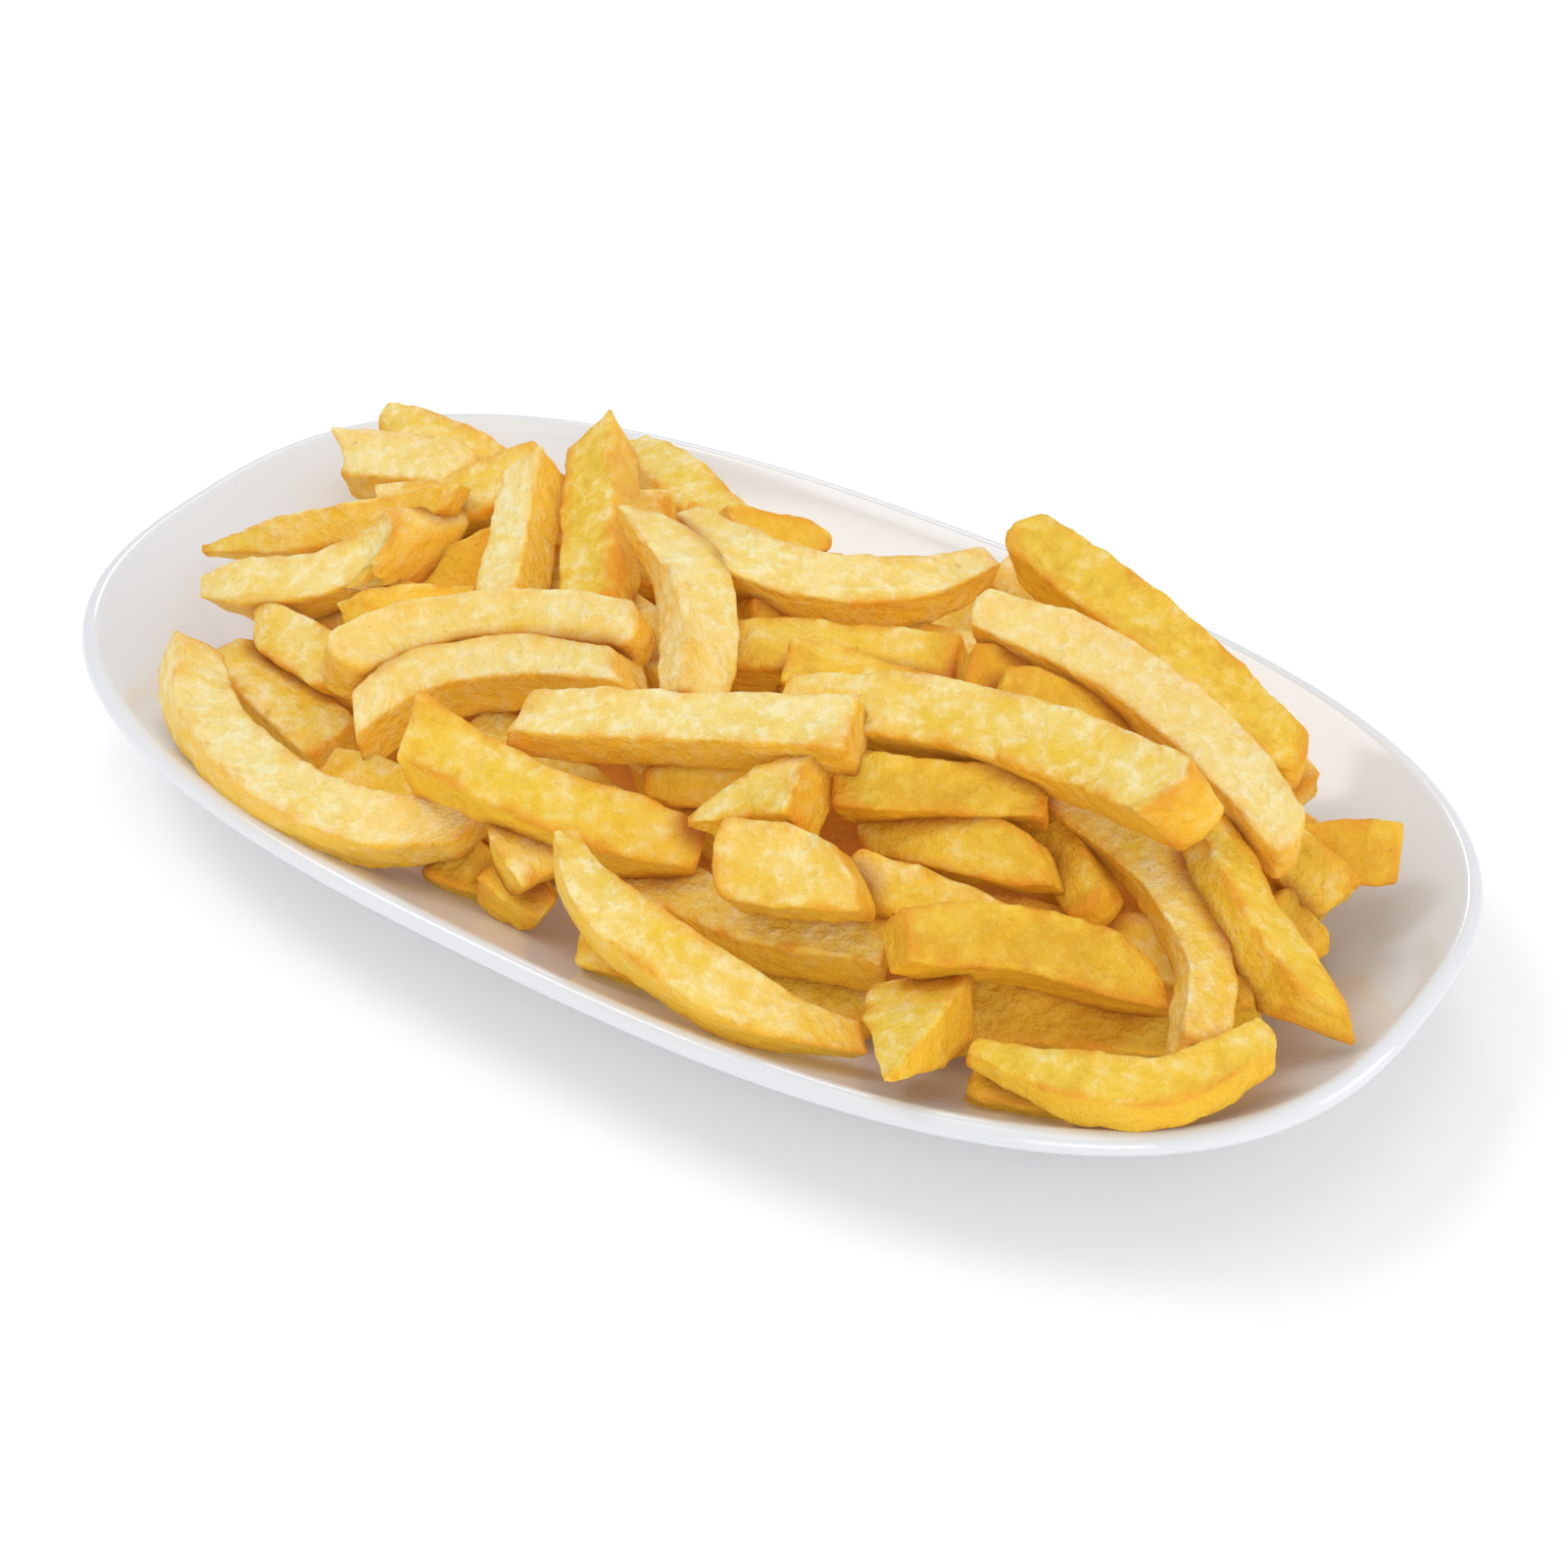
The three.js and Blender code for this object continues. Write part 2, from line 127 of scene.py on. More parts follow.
def new_piece(name: str, mesh: bpy.types.Mesh) -> bpy.types.Object:
    """Links a finished mesh as a smooth piece of the portion.

    Args:
        name: The piece's name.
        mesh: Its mesh, already in place.

    Returns:
        The piece's object.
    """
    mesh.shade_smooth()
    piece = new_object(name, mesh)
    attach(piece, "root")
    LOG.info("%s: %d vertices, %d faces", name, len(mesh.vertices), len(mesh.polygons))
    return piece


# The eye

@dataclass(frozen=True)
class View:
    """The eye that the portion is seen from, over a square picture in pixels."""

    elevation: float = math.radians(37.8)
    azimuth: float = math.radians(34.9)
    distance: float = 538.0
    aim: Triple = (-2.5, 16.1, 0.0)
    focal: float = 3000.0
    picture: float = 1600.0
    sensor: float = 36.0

    @property
    def back(self) -> np.ndarray:
        """The direction from the aim to the eye."""
        return direction(self.azimuth, self.elevation)

    @property
    def right(self) -> np.ndarray:
        """The picture's direction to the right."""
        return np.array((math.cos(self.azimuth), math.sin(self.azimuth), 0.0))

    @property
    def up(self) -> np.ndarray:
        """The picture's upward direction."""
        return np.cross(self.back, self.right)

    @property
    def eye(self) -> np.ndarray:
        """The place of the eye."""
        return np.array(self.aim) + self.distance * self.back

    def sight_lines(self, pixels: np.ndarray) -> tuple[np.ndarray, np.ndarray]:
        """Lines of sight through picture points.

        Args:
            pixels: Picture points, one in each row.

        Returns:
            Where each line meets the table, and its run for each unit of height.
        """
        across = (pixels[:, :1] - self.picture / 2) / self.focal
        upward = (self.picture / 2 - pixels[:, 1:]) / self.focal
        run = across * self.right + upward * self.up - self.back
        run = run / run[:, 2:]
        return self.eye - run * self.eye[2], run

    def place_camera(self) -> bpy.types.Object:
        """Adds the camera and makes it the scene's own.

        Returns:
            The camera's object.
        """
        data = bpy.data.cameras.new("camera")
        data.sensor_width = self.sensor
        data.lens = self.focal / self.picture * self.sensor
        camera = new_object("camera", data)
        turn = Matrix((self.right, self.up, self.back)).transposed()
        camera.matrix_world = Matrix.Translation(Vector(self.eye * MM)) @ turn.to_4x4()
        bpy.context.scene.camera = camera
        return camera


# Shader nodes

@dataclass
class Wiring:
    """A node tree with short calls that add nodes and join their sockets."""

    tree: bpy.types.NodeTree

    def feed(self, node: bpy.types.Node, inputs: dict[Any, Any]) -> None:
        """Joins or sets inputs of a node.

        Args:
            node: The node.
            inputs: A socket to join or a value to set, for each named or numbered input.
        """
        for key, value in inputs.items():
            if isinstance(value, Socket):
                self.tree.links.new(value, node.inputs[key])
            else:
                node.inputs[key].default_value = value

    def add(self, kind: str, inputs: dict[Any, Any] | None = None, **settings: Any) -> bpy.types.Node:
        """Adds a node.

        Args:
            kind: The node's type.
            inputs: A socket to join or a value to set, for each named or numbered input.
            settings: The node's own properties.

        Returns:
            The new node.
        """
        node = self.tree.nodes.new(kind)
        for name, value in settings.items():
            setattr(node, name, value)
        self.feed(node, inputs or {})
        return node

    def math(self, operation: str, first: Any, second: Any) -> Socket:
        """Adds a math node that works its operation on two values, each a socket or a number."""
        return self.add("ShaderNodeMath", {0: first, 1: second}, operation=operation).outputs[0]

    def spread(self, value: Socket, ramp: Ramp) -> Socket:
        """Spreads a value along a ramp."""
        ends = dict(zip(("From Min", "From Max", "To Min", "To Max"), ramp))
        return self.add("ShaderNodeMapRange", {"Value": value, **ends}).outputs[0]

    def mix(self, share: Any, first: Any, second: Any) -> Socket:
        """Mixes a share of the second colour into the first, each a socket or a value."""
        inputs = {0: share, 6: first, 7: second}
        return self.add("ShaderNodeMix", inputs, data_type="RGBA").outputs[2]

    def noise(self, place: Socket, scale: Any, detail: float, rough: float = 0.5) -> Socket:
        """Adds smooth noise with scale lumps in each metre, and detail finer layers as strong as rough."""
        inputs = {"Vector": place, "Scale": scale, "Detail": detail, "Roughness": rough}
        return self.add("ShaderNodeTexNoise", inputs).outputs[0]

    def bump(self, height: Socket, strength: float, depth: float) -> Socket:
        """Adds a bump from a height of 0 to 1, which stands for the depth in metres."""
        inputs = {"Strength": strength, "Distance": depth, "Height": height}
        return self.add("ShaderNodeBump", inputs).outputs[0]

    def attribute(self, name: str, output: str = "Fac") -> Socket:
        """Reads one of the mesh's own attributes."""
        return self.add("ShaderNodeAttribute", attribute_name=name).outputs[output]

    def object_place(self) -> Socket:
        """Reads the place on the object."""
        return self.add("ShaderNodeTexCoord").outputs["Object"]


def new_material(name: str) -> tuple[bpy.types.Material, Wiring, bpy.types.Node]:
    """Starts a material with one shader.

    Args:
        name: The material's name.

    Returns:
        The material, its wiring and its Principled shader.
    """
    material = bpy.data.materials.new(name)
    material.use_nodes = True
    wiring = Wiring(material.node_tree)
    shader = next(node for node in material.node_tree.nodes if node.type == "BSDF_PRINCIPLED")
    return material, wiring, shader


@dataclass(frozen=True)
class FriedGrain:
    """The effect that all fried surfaces share: cloudy patches, fine grain, and a height from both."""

    name: str = "fried_grain"
    detail: float = 5.0
    patch_rough: float = 0.5
    patch_range: Ramp = Ramp(0.3, 0.7)
    grain_rough: float = 0.62
    grain_range: Ramp = Ramp(0.25, 0.75)
    grain_share: float = 0.55

    def group(self) -> bpy.types.NodeTree:
        """Builds the group once.

        Returns:
            The group's node tree.
        """
        made = bpy.data.node_groups.get(self.name)
        if made:
            return made
        tree = bpy.data.node_groups.new(self.name, "ShaderNodeTree")
        tree.interface.new_socket("Vector", in_out="INPUT", socket_type="NodeSocketVector")
        for name in ("Patch Scale", "Grain Scale"):
            tree.interface.new_socket(name, in_out="INPUT", socket_type="NodeSocketFloat")
        for name in ("Patches", "Grain", "Height"):
            tree.interface.new_socket(name, in_out="OUTPUT", socket_type="NodeSocketFloat")
        wiring = Wiring(tree)
        given = wiring.add("NodeGroupInput").outputs
        patches = wiring.noise(given["Vector"], given["Patch Scale"], self.detail, self.patch_rough)
        patches = wiring.spread(patches, self.patch_range)
        grain = wiring.noise(given["Vector"], given["Grain Scale"], self.detail, self.grain_rough)
        grain = wiring.spread(grain, self.grain_range)
        coarse = wiring.math("MULTIPLY", patches, 1.0 - self.grain_share)
        height = wiring.math("ADD", wiring.math("MULTIPLY", grain, self.grain_share), coarse)
        wiring.add("NodeGroupOutput", {"Patches": patches, "Grain": grain, "Height": height})
        return tree

    def outputs(self, wiring: Wiring, place: Socket, scales: Pair) -> tuple[Socket, Socket, Socket]:
        """Adds the group to a material, with the number of patches and of grains in each metre."""
        inputs = {"Vector": place, "Patch Scale": scales[0], "Grain Scale": scales[1]}
        return tuple(wiring.add("ShaderNodeGroup", inputs, node_tree=self.group()).outputs)


# Finishes

@dataclass(frozen=True)
class PotatoFinish:
    """Fried potato.

    Its faces go from pale to amber with their tone, which is painted paler on the side towards the light,
    with pale mealy grains on the pale ones that are partly a painted highlight. The sides turned from the
    light and the gaps between fries get a painted orange glow, as of light through the potato; its edges and
    tips are browned, and a painted shadow darkens it where fries touch.
    """

    name: str = "fried_potato"
    pale: Colour = (0.96, 0.77, 0.30, 1.0)
    golden: Colour = (0.87, 0.605, 0.058, 1.0)
    amber: Colour = (0.65, 0.345, 0.016, 1.0)
    # Painted glow, as of light through the potato, on the sides turned from the light and in the gaps between
    # fries.
    glow: Colour = (0.96, 0.545, 0.028, 1.0)
    shadow: Colour = (0.38, 0.08, 0.006, 1.0)
    browned: Colour = (0.82, 0.33, 0.02, 1.0)
    speck: Colour = (0.55, 0.22, 0.03, 1.0)
    starch_highlight: Colour = (0.98, 0.89, 0.56, 1.0)
    scales: Pair = (160.0, 430.0)
    tone_patches: Ramp = Ramp(start=-0.25, end=0.25)
    tone_grain: Ramp = Ramp(start=0.2, end=-0.2)
    golden_tone: Ramp = Ramp(0.0, 0.6)
    amber_tone: Ramp = Ramp(0.6, 1.1)
    floury_highlight_grain: Ramp = Ramp(0.48, 0.72, 0.0, 0.7)
    floury_highlight_tone: Ramp = Ramp(0.0, 0.6, 1.0, 0.1)
    painted_glow_side: Ramp = Ramp(0.1, 0.9)
    painted_glow_gap: Ramp = Ramp(0.0, 0.9, 0.0, 0.8)
    painted_glow_grain: Ramp = Ramp(0.2, 0.8, 0.95, 0.7)
    crisp_patches: Ramp = Ramp(0.3, 0.65, 0.1, 1.0)
    crisp_tone: Ramp = Ramp(0.1, 0.6, 0.45, 1.0)
    tip_patches: Ramp = Ramp(0.3, 1.0, 0.0, 0.45)
    painted_shadow_gap: Ramp = Ramp(0.5, 1.0)
    painted_shadow_power: float = 1.4
    painted_shadow_share: float = 0.85
    speck_scale: float = 420.0
    speck_detail: float = 1.0
    speck_range: Ramp = Ramp(0.74, 0.8, 0.0, 0.4)
    roughness: Ramp = Ramp(start=0.40, end=0.6)
    bump: float = 1.0
    relief: float = 0.0013
    gloss: float = 0.25
    subsurface: float = 0.25
    subsurface_radius: Triple = (1.0, 0.7, 0.35)
    subsurface_depth: float = 0.003

    def material(self) -> bpy.types.Material:
        """Wires the material.

        Returns:
            The finished material.
        """
        material, wiring, shader = new_material(self.name)
        place = wiring.attribute("stick", "Vector")
        near = wiring.attribute("crevice")
        patches, grain, height = FriedGrain().outputs(wiring, place, self.scales)
        tone = wiring.math("ADD", wiring.attribute("tone"), wiring.spread(patches, self.tone_patches))
        tone = wiring.math("ADD", tone, wiring.spread(grain, self.tone_grain))
        # Pale starchy grains, strongest on pale tones, which also serve as a painted highlight on the lit
        # tops.
        floury_highlight = wiring.spread(grain, self.floury_highlight_grain)
        floury_highlight = wiring.math("MULTIPLY", floury_highlight, wiring.spread(tone, self.floury_highlight_tone))
        # Painted glow on the sides turned from the light and where fries lie close, mottled by the grain.
        painted_glow_share = wiring.spread(wiring.attribute("side"), self.painted_glow_side)
        painted_glow_share = wiring.math("MAXIMUM", painted_glow_share, wiring.spread(near, self.painted_glow_gap))
        painted_glow_share = wiring.math("MULTIPLY", painted_glow_share, wiring.spread(grain, self.painted_glow_grain))
        crisp = wiring.math("MULTIPLY", wiring.attribute("edge"), wiring.spread(patches, self.crisp_patches))
        crisp = wiring.math("MULTIPLY", crisp, wiring.spread(tone, self.crisp_tone))
        tips = wiring.math("MULTIPLY", wiring.attribute("tip"), wiring.spread(patches, self.tip_patches))
        # Painted shadow where fries touch or lie close.
        deep = wiring.math("POWER", wiring.spread(near, self.painted_shadow_gap), self.painted_shadow_power)
        deep = wiring.math("MULTIPLY", deep, self.painted_shadow_share)
        specks = wiring.noise(place, self.speck_scale, self.speck_detail)
        layers = (
            (wiring.spread(tone, self.golden_tone), self.golden),
            (wiring.spread(tone, self.amber_tone), self.amber),
            (floury_highlight, self.starch_highlight),
            (painted_glow_share, self.glow),
            (crisp, self.browned),
            (tips, self.browned),
            (deep, self.shadow),
            (wiring.spread(specks, self.speck_range), self.speck),
        )
        colour = self.pale
        for share, layer in layers:
            colour = wiring.mix(share, colour, layer)
        wiring.feed(shader, {
            "Base Color": colour,
            "Roughness": wiring.spread(patches, self.roughness),
            "Normal": wiring.bump(height, self.bump, self.relief),
            "Subsurface Weight": self.subsurface,
            "Subsurface Radius": self.subsurface_radius,
            "Subsurface Scale": self.subsurface_depth,
            "Specular IOR Level": self.gloss,
        })
        return material


@dataclass(frozen=True)
class CoreFinish:
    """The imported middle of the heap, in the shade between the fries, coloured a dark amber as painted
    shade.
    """

    name: str = "packed_potato_painted_shade"
    # Potato amber darkened to stand for the shade in the gaps: painted shade.
    light: Colour = (0.80, 0.33, 0.02, 1.0)
    dark: Colour = (0.60, 0.19, 0.012, 1.0)
    scales: Pair = (120.0, 900.0)
    roughness: float = 0.6
    bump: float = 0.5
    relief: float = 0.001

    def material(self) -> bpy.types.Material:
        """Wires the material.

        Returns:
            The finished material.
        """
        material, wiring, shader = new_material(self.name)
        patches, _, height = FriedGrain().outputs(wiring, wiring.object_place(), self.scales)
        wiring.feed(shader, {
            "Base Color": wiring.mix(patches, self.dark, self.light),
            "Roughness": self.roughness,
            "Normal": wiring.bump(height, self.bump, self.relief),
        })
        return material


@dataclass(frozen=True)
class GlazeFinish:
    """White porcelain under a clear gloss glaze that pools very slightly unevenly."""

    name: str = "white_glaze"
    white: Colour = (0.74, 0.755, 0.78, 1.0)
    shade: Colour = (0.72, 0.735, 0.76, 1.0)
    cloud_scale: float = 14.0
    cloud_detail: float = 3.0
    clouds: Ramp = Ramp(0.35, 0.65)
    smear_scale: float = 42.0
    smear_detail: float = 4.0
    smear_rough: float = 0.65
    roughness: Ramp = Ramp(0.35, 0.7, 0.06, 0.13)
    ripple_scale: float = 55.0
    ripple_detail: float = 1.0
    ripple: float = 0.04
    relief: float = 0.001

    def material(self) -> bpy.types.Material:
        """Wires the material.

        Returns:
            The finished material.
        """
        material, wiring, shader = new_material(self.name)
        place = wiring.object_place()
        clouds = wiring.noise(place, self.cloud_scale, self.cloud_detail)
        smears = wiring.noise(place, self.smear_scale, self.smear_detail, self.smear_rough)
        ripples = wiring.noise(place, self.ripple_scale, self.ripple_detail)
        wiring.feed(shader, {
            "Base Color": wiring.mix(wiring.spread(clouds, self.clouds), self.white, self.shade),
            "Roughness": wiring.spread(smears, self.roughness),
            "Normal": wiring.bump(ripples, self.ripple, self.relief),
        })
        return material


@dataclass(frozen=True)
class BiscuitFinish:
    """Bare fired clay, where the foot ring is wiped clean of glaze."""

    name: str = "bare_foot"
    clay: Colour = (0.72, 0.69, 0.64, 1.0)
    dust: Colour = (0.60, 0.57, 0.52, 1.0)
    grain_scale: float = 900.0
    grain_detail: float = 3.0
    roughness: float = 0.85
    bump: float = 0.3
    relief: float = 0.0003

    def material(self) -> bpy.types.Material:
        """Wires the material.

        Returns:
            The finished material.
        """
        material, wiring, shader = new_material(self.name)
        grain = wiring.noise(wiring.object_place(), self.grain_scale, self.grain_detail)
        wiring.feed(shader, {
            "Base Color": wiring.mix(grain, self.clay, self.dust),
            "Roughness": self.roughness,
            "Normal": wiring.bump(grain, self.bump, self.relief),
        })
        return material


# The dish

@dataclass(frozen=True)
class OvalDish:
    """The oval dish, turned from a profile and stretched so that its rim keeps one width all round."""

    length: float
    width: float
    height: float
    oval_power: float = 2.65
    wall: float = 3.8
    wall_curve: float = 1.6
    wall_steps: int = 20
    rim_angle: float = math.radians(40.0)
    lip_steps: int = 16
    floor_top: float = 6.5
    floor_half_width: float = 32.0
    floor_rings: tuple[float, ...] = (0.8, 0.5, 0.2, 0.0)
    foot_inside: float = 32.0
    foot_outside: float = 36.0
    foot_draft: float = 0.7
    foot_round: float = 0.8
    foot_lean: float = 0.2
    foot_clear: float = 2.0
    bare_height: float = 0.08
    sides: int = 192

    @classmethod
    def from_frame(cls) -> "OvalDish":
        """Takes the dish's length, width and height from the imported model."""
        low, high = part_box("plate")
        return cls(*((high - low) / MM))

    @property
    def lip(self) -> float:
        """Radius of the rounded lip."""
        return self.wall / 2

    @property
    def lip_middle(self) -> np.ndarray:
        """Half width and height of the middle of the rounded lip."""
        return np.array((self.width / 2 - self.lip, self.height - self.lip))

    @property
    def wall_end(self) -> np.ndarray:
        """Half width and height where the inside of the wall runs into the lip."""
        return self.lip_middle + self.lip * np.array((-math.sin(self.rim_angle), math.cos(self.rim_angle)))

    def half_length(self, r: np.ndarray) -> np.ndarray:
        """Half length of the oval ring whose half width is r."""
        return r + (self.length - self.width) / 2 * np.minimum(1.0, r / self.floor_half_width)

    def ring_through(
        self, x: np.ndarray, y: np.ndarray, least: float = 1e-3, halvings: int = 26
    ) -> np.ndarray:
        """Half widths of the oval rings that pass through points.

        Args:
            x: The points' places along the dish.
            y: Their places across it.
            least: The half width of the smallest ring.
            halvings: How often the search is narrowed.

        Returns:
            The half width of each point's ring.
        """
        low = np.full(np.shape(x), least)
        high = np.full(np.shape(x), self.length)
        for _ in range(halvings):
            r = (low + high) / 2
            power = self.oval_power
            outside = np.abs(x / self.half_length(r)) ** power + np.abs(y / r) ** power > 1
            low, high = np.where(outside, r, low), np.where(outside, high, r)
        return (low + high) / 2

    def inside_at(self, r: np.ndarray) -> tuple[np.ndarray, np.ndarray]:
        """Height and slope of the inside of the dish on the rings of half width r."""
        run, rise = self.wall_end - (self.floor_half_width, self.floor_top)
        s = np.clip((r - self.floor_half_width) / run, 0, 1)
        slope = rise * self.wall_curve / run * s ** (self.wall_curve - 1)
        return self.floor_top + rise * s ** self.wall_curve, slope

    def side(self, start: float, offset: float) -> list[Pair]:
        """The inside of the wall, moved out or in along its normal.

        Args:
            start: Half width where the line starts.
            offset: How far it is moved, + into the hollow.

        Returns:
            Points of half width and height, from the start to the lip.
        """
        r = np.linspace(start, self.wall_end[0], self.wall_steps + 1)
        z, slope = self.inside_at(r)
        tilt = np.arctan(slope)
        return list(zip(r - offset * np.sin(tilt), z + offset * np.cos(tilt)))

    def profile(self) -> list[Pair]:
        """The whole section, from the middle of the underside round the lip to the middle of the floor.

        Returns:
            Points of half width and height.
        """
        under = self.floor_top - self.wall
        bend = self.foot_round
        foot = [
            (self.foot_inside - self.foot_draft - bend, under),
            (self.foot_inside - self.foot_draft, under - bend / 2),
            (self.foot_inside - self.foot_lean, bend / 3),
            (self.foot_inside + bend / 2, 0.0),
            (self.foot_outside - bend / 2, 0.0),
            (self.foot_outside + self.foot_lean, bend / 3),
            (self.foot_outside + self.foot_draft, under - bend / 2),
            (self.foot_outside + self.foot_draft + bend, under),
        ]
        outside = self.side(self.foot_outside + self.foot_clear, -self.wall)
        quarter = math.pi / 2
        turns = np.linspace(self.rim_angle - quarter, self.rim_angle + quarter, self.lip_steps + 1)[1:-1]
        lip = self.lip_middle + self.lip * np.column_stack([np.cos(turns), np.sin(turns)])
        inside = self.side(self.floor_half_width, 0.0)[::-1]
        floor = [(self.floor_half_width * share, self.floor_top) for share in self.floor_rings]
        return [(0.0, under), (self.foot_inside / 2, under), *foot, *outside, *lip, *inside, *floor]

    def turn_oval(self, profile: list[Pair], sides: int) -> bmesh.types.BMesh:
        """Turns a profile into a closed body and stretches it to the oval.

        Args:
            profile: Points of half width and height that start and end on the axis.
            sides: How many sides the turned body has.

        Returns:
            The body, in metres.
        """
        body = bmesh.new()
        verts = [body.verts.new((r * MM, 0.0, z * MM)) for r, z in profile]
        edges = [body.edges.new(pair) for pair in zip(verts, verts[1:])]
        bmesh.ops.spin(
            body, geom=verts + edges, cent=(0, 0, 0), axis=(0, 0, 1), angle=2 * math.pi, steps=sides,
            use_merge=True,
        )
        bmesh.ops.remove_doubles(body, verts=body.verts, dist=TINY)
        for vert in body.verts:
            r = math.hypot(vert.co.x, vert.co.y)
            if r < TINY:
                continue
            cosine, sine = vert.co.x / r, vert.co.y / r
            along = math.copysign(abs(cosine) ** (2 / self.oval_power), cosine)
            across = math.copysign(abs(sine) ** (2 / self.oval_power), sine)
            vert.co.x = along * float(self.half_length(r / MM)) * MM
            vert.co.y = across * r
        bmesh.ops.recalc_face_normals(body, faces=body.faces)
        return body

    def build(self) -> bpy.types.Object:
        """Models the dish, with bare clay under its foot ring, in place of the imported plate.

        Returns:
            The dish's object.
        """
        body = self.turn_oval(self.profile(), self.sides)
        for face in body.faces:
            face.material_index = int(face.calc_center_median().z < self.bare_height * MM)
        mesh = new_mesh("dish", body)
        mesh.materials.append(GlazeFinish().material())
        mesh.materials.append(BiscuitFinish().material())
        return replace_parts(new_piece("dish", mesh), "plate")


# The fries

@dataclass(frozen=True)
class Fry:
    """One fry as it is laid, before the heap settles.

    At each end, ends narrows it, slant and tilt make its upper and its near side stick out, and nose rounds
    it. All four work over reach, a share of its length.
    """

    path: tuple[Pair, ...]
    rest: Pair
    size: Pair = (10.0, 9.0)
    turn: float = 20.0
    ends: Pair = (0.9, 0.9)
    slant: Pair = (0.0, 0.0)
    tilt: Pair = (0.0, 0.0)
    nose: Pair = (0.0, 0.0)
    reach: float = 0.25
    fried: Fried = LIGHT

    @property
    def radius(self) -> float:
        """Half of the fry's mean thickness."""
        return sum(self.size) / 4


# Fries that the heap hides: centrelines in plan, and the height of each end
HIDDEN = (
    Fry(((15, 52), (75, 44)), (18, 18)),
    Fry(((-45, 46), (10, 50)), (19, 19)),
    Fry(((-78, 38), (-32, 28)), (18, 22)),
    Fry(((35, 46), (82, 28)), (26, 24)),
    Fry(((-98, 18), (-62, 34)), (20, 20)),
    Fry(((5, 28), (55, 22)), (32, 32)),
    Fry(((-96, -4), (-62, 12)), (21, 23)),
    Fry(((-90, -18), (-55, -14)), (22, 24)),
    Fry(((-48, 6), (-6, -8)), (32, 33)),
    Fry(((-8, 10), (30, -6)), (33, 33)),
    Fry(((24, 2), (62, 12)), (33, 30)),
    Fry(((62, -26), (96, -6)), (23, 22)),
    Fry(((-2, -24), (42, -34)), (21, 21)),
    Fry(((-34, -30), (6, -36)), (27, 25)),
    Fry(((84, 12), (104, -10)), (20, 20)),
    Fry(((28, 38), (90, 22)), (34, 28)),
    Fry(((-34, 28), (-4, 42)), (26, 22)),
    Fry(((-6, 34), (34, 40)), (24, 24)),
    Fry(((-42, 18), (2, 26)), (33, 32)),
    Fry(((18, 16), (62, 28)), (35, 30)),
    Fry(((-72, 18), (-40, 34)), (27, 25)),
    Fry(((-86, 4), (-58, 24)), (25, 26)),
    Fry(((62, 16), (98, 24)), (28, 22)),
    Fry(((24, 44), (62, 38)), (38, 35)),
    Fry(((50, 40), (92, 30)), (33, 25)),
)

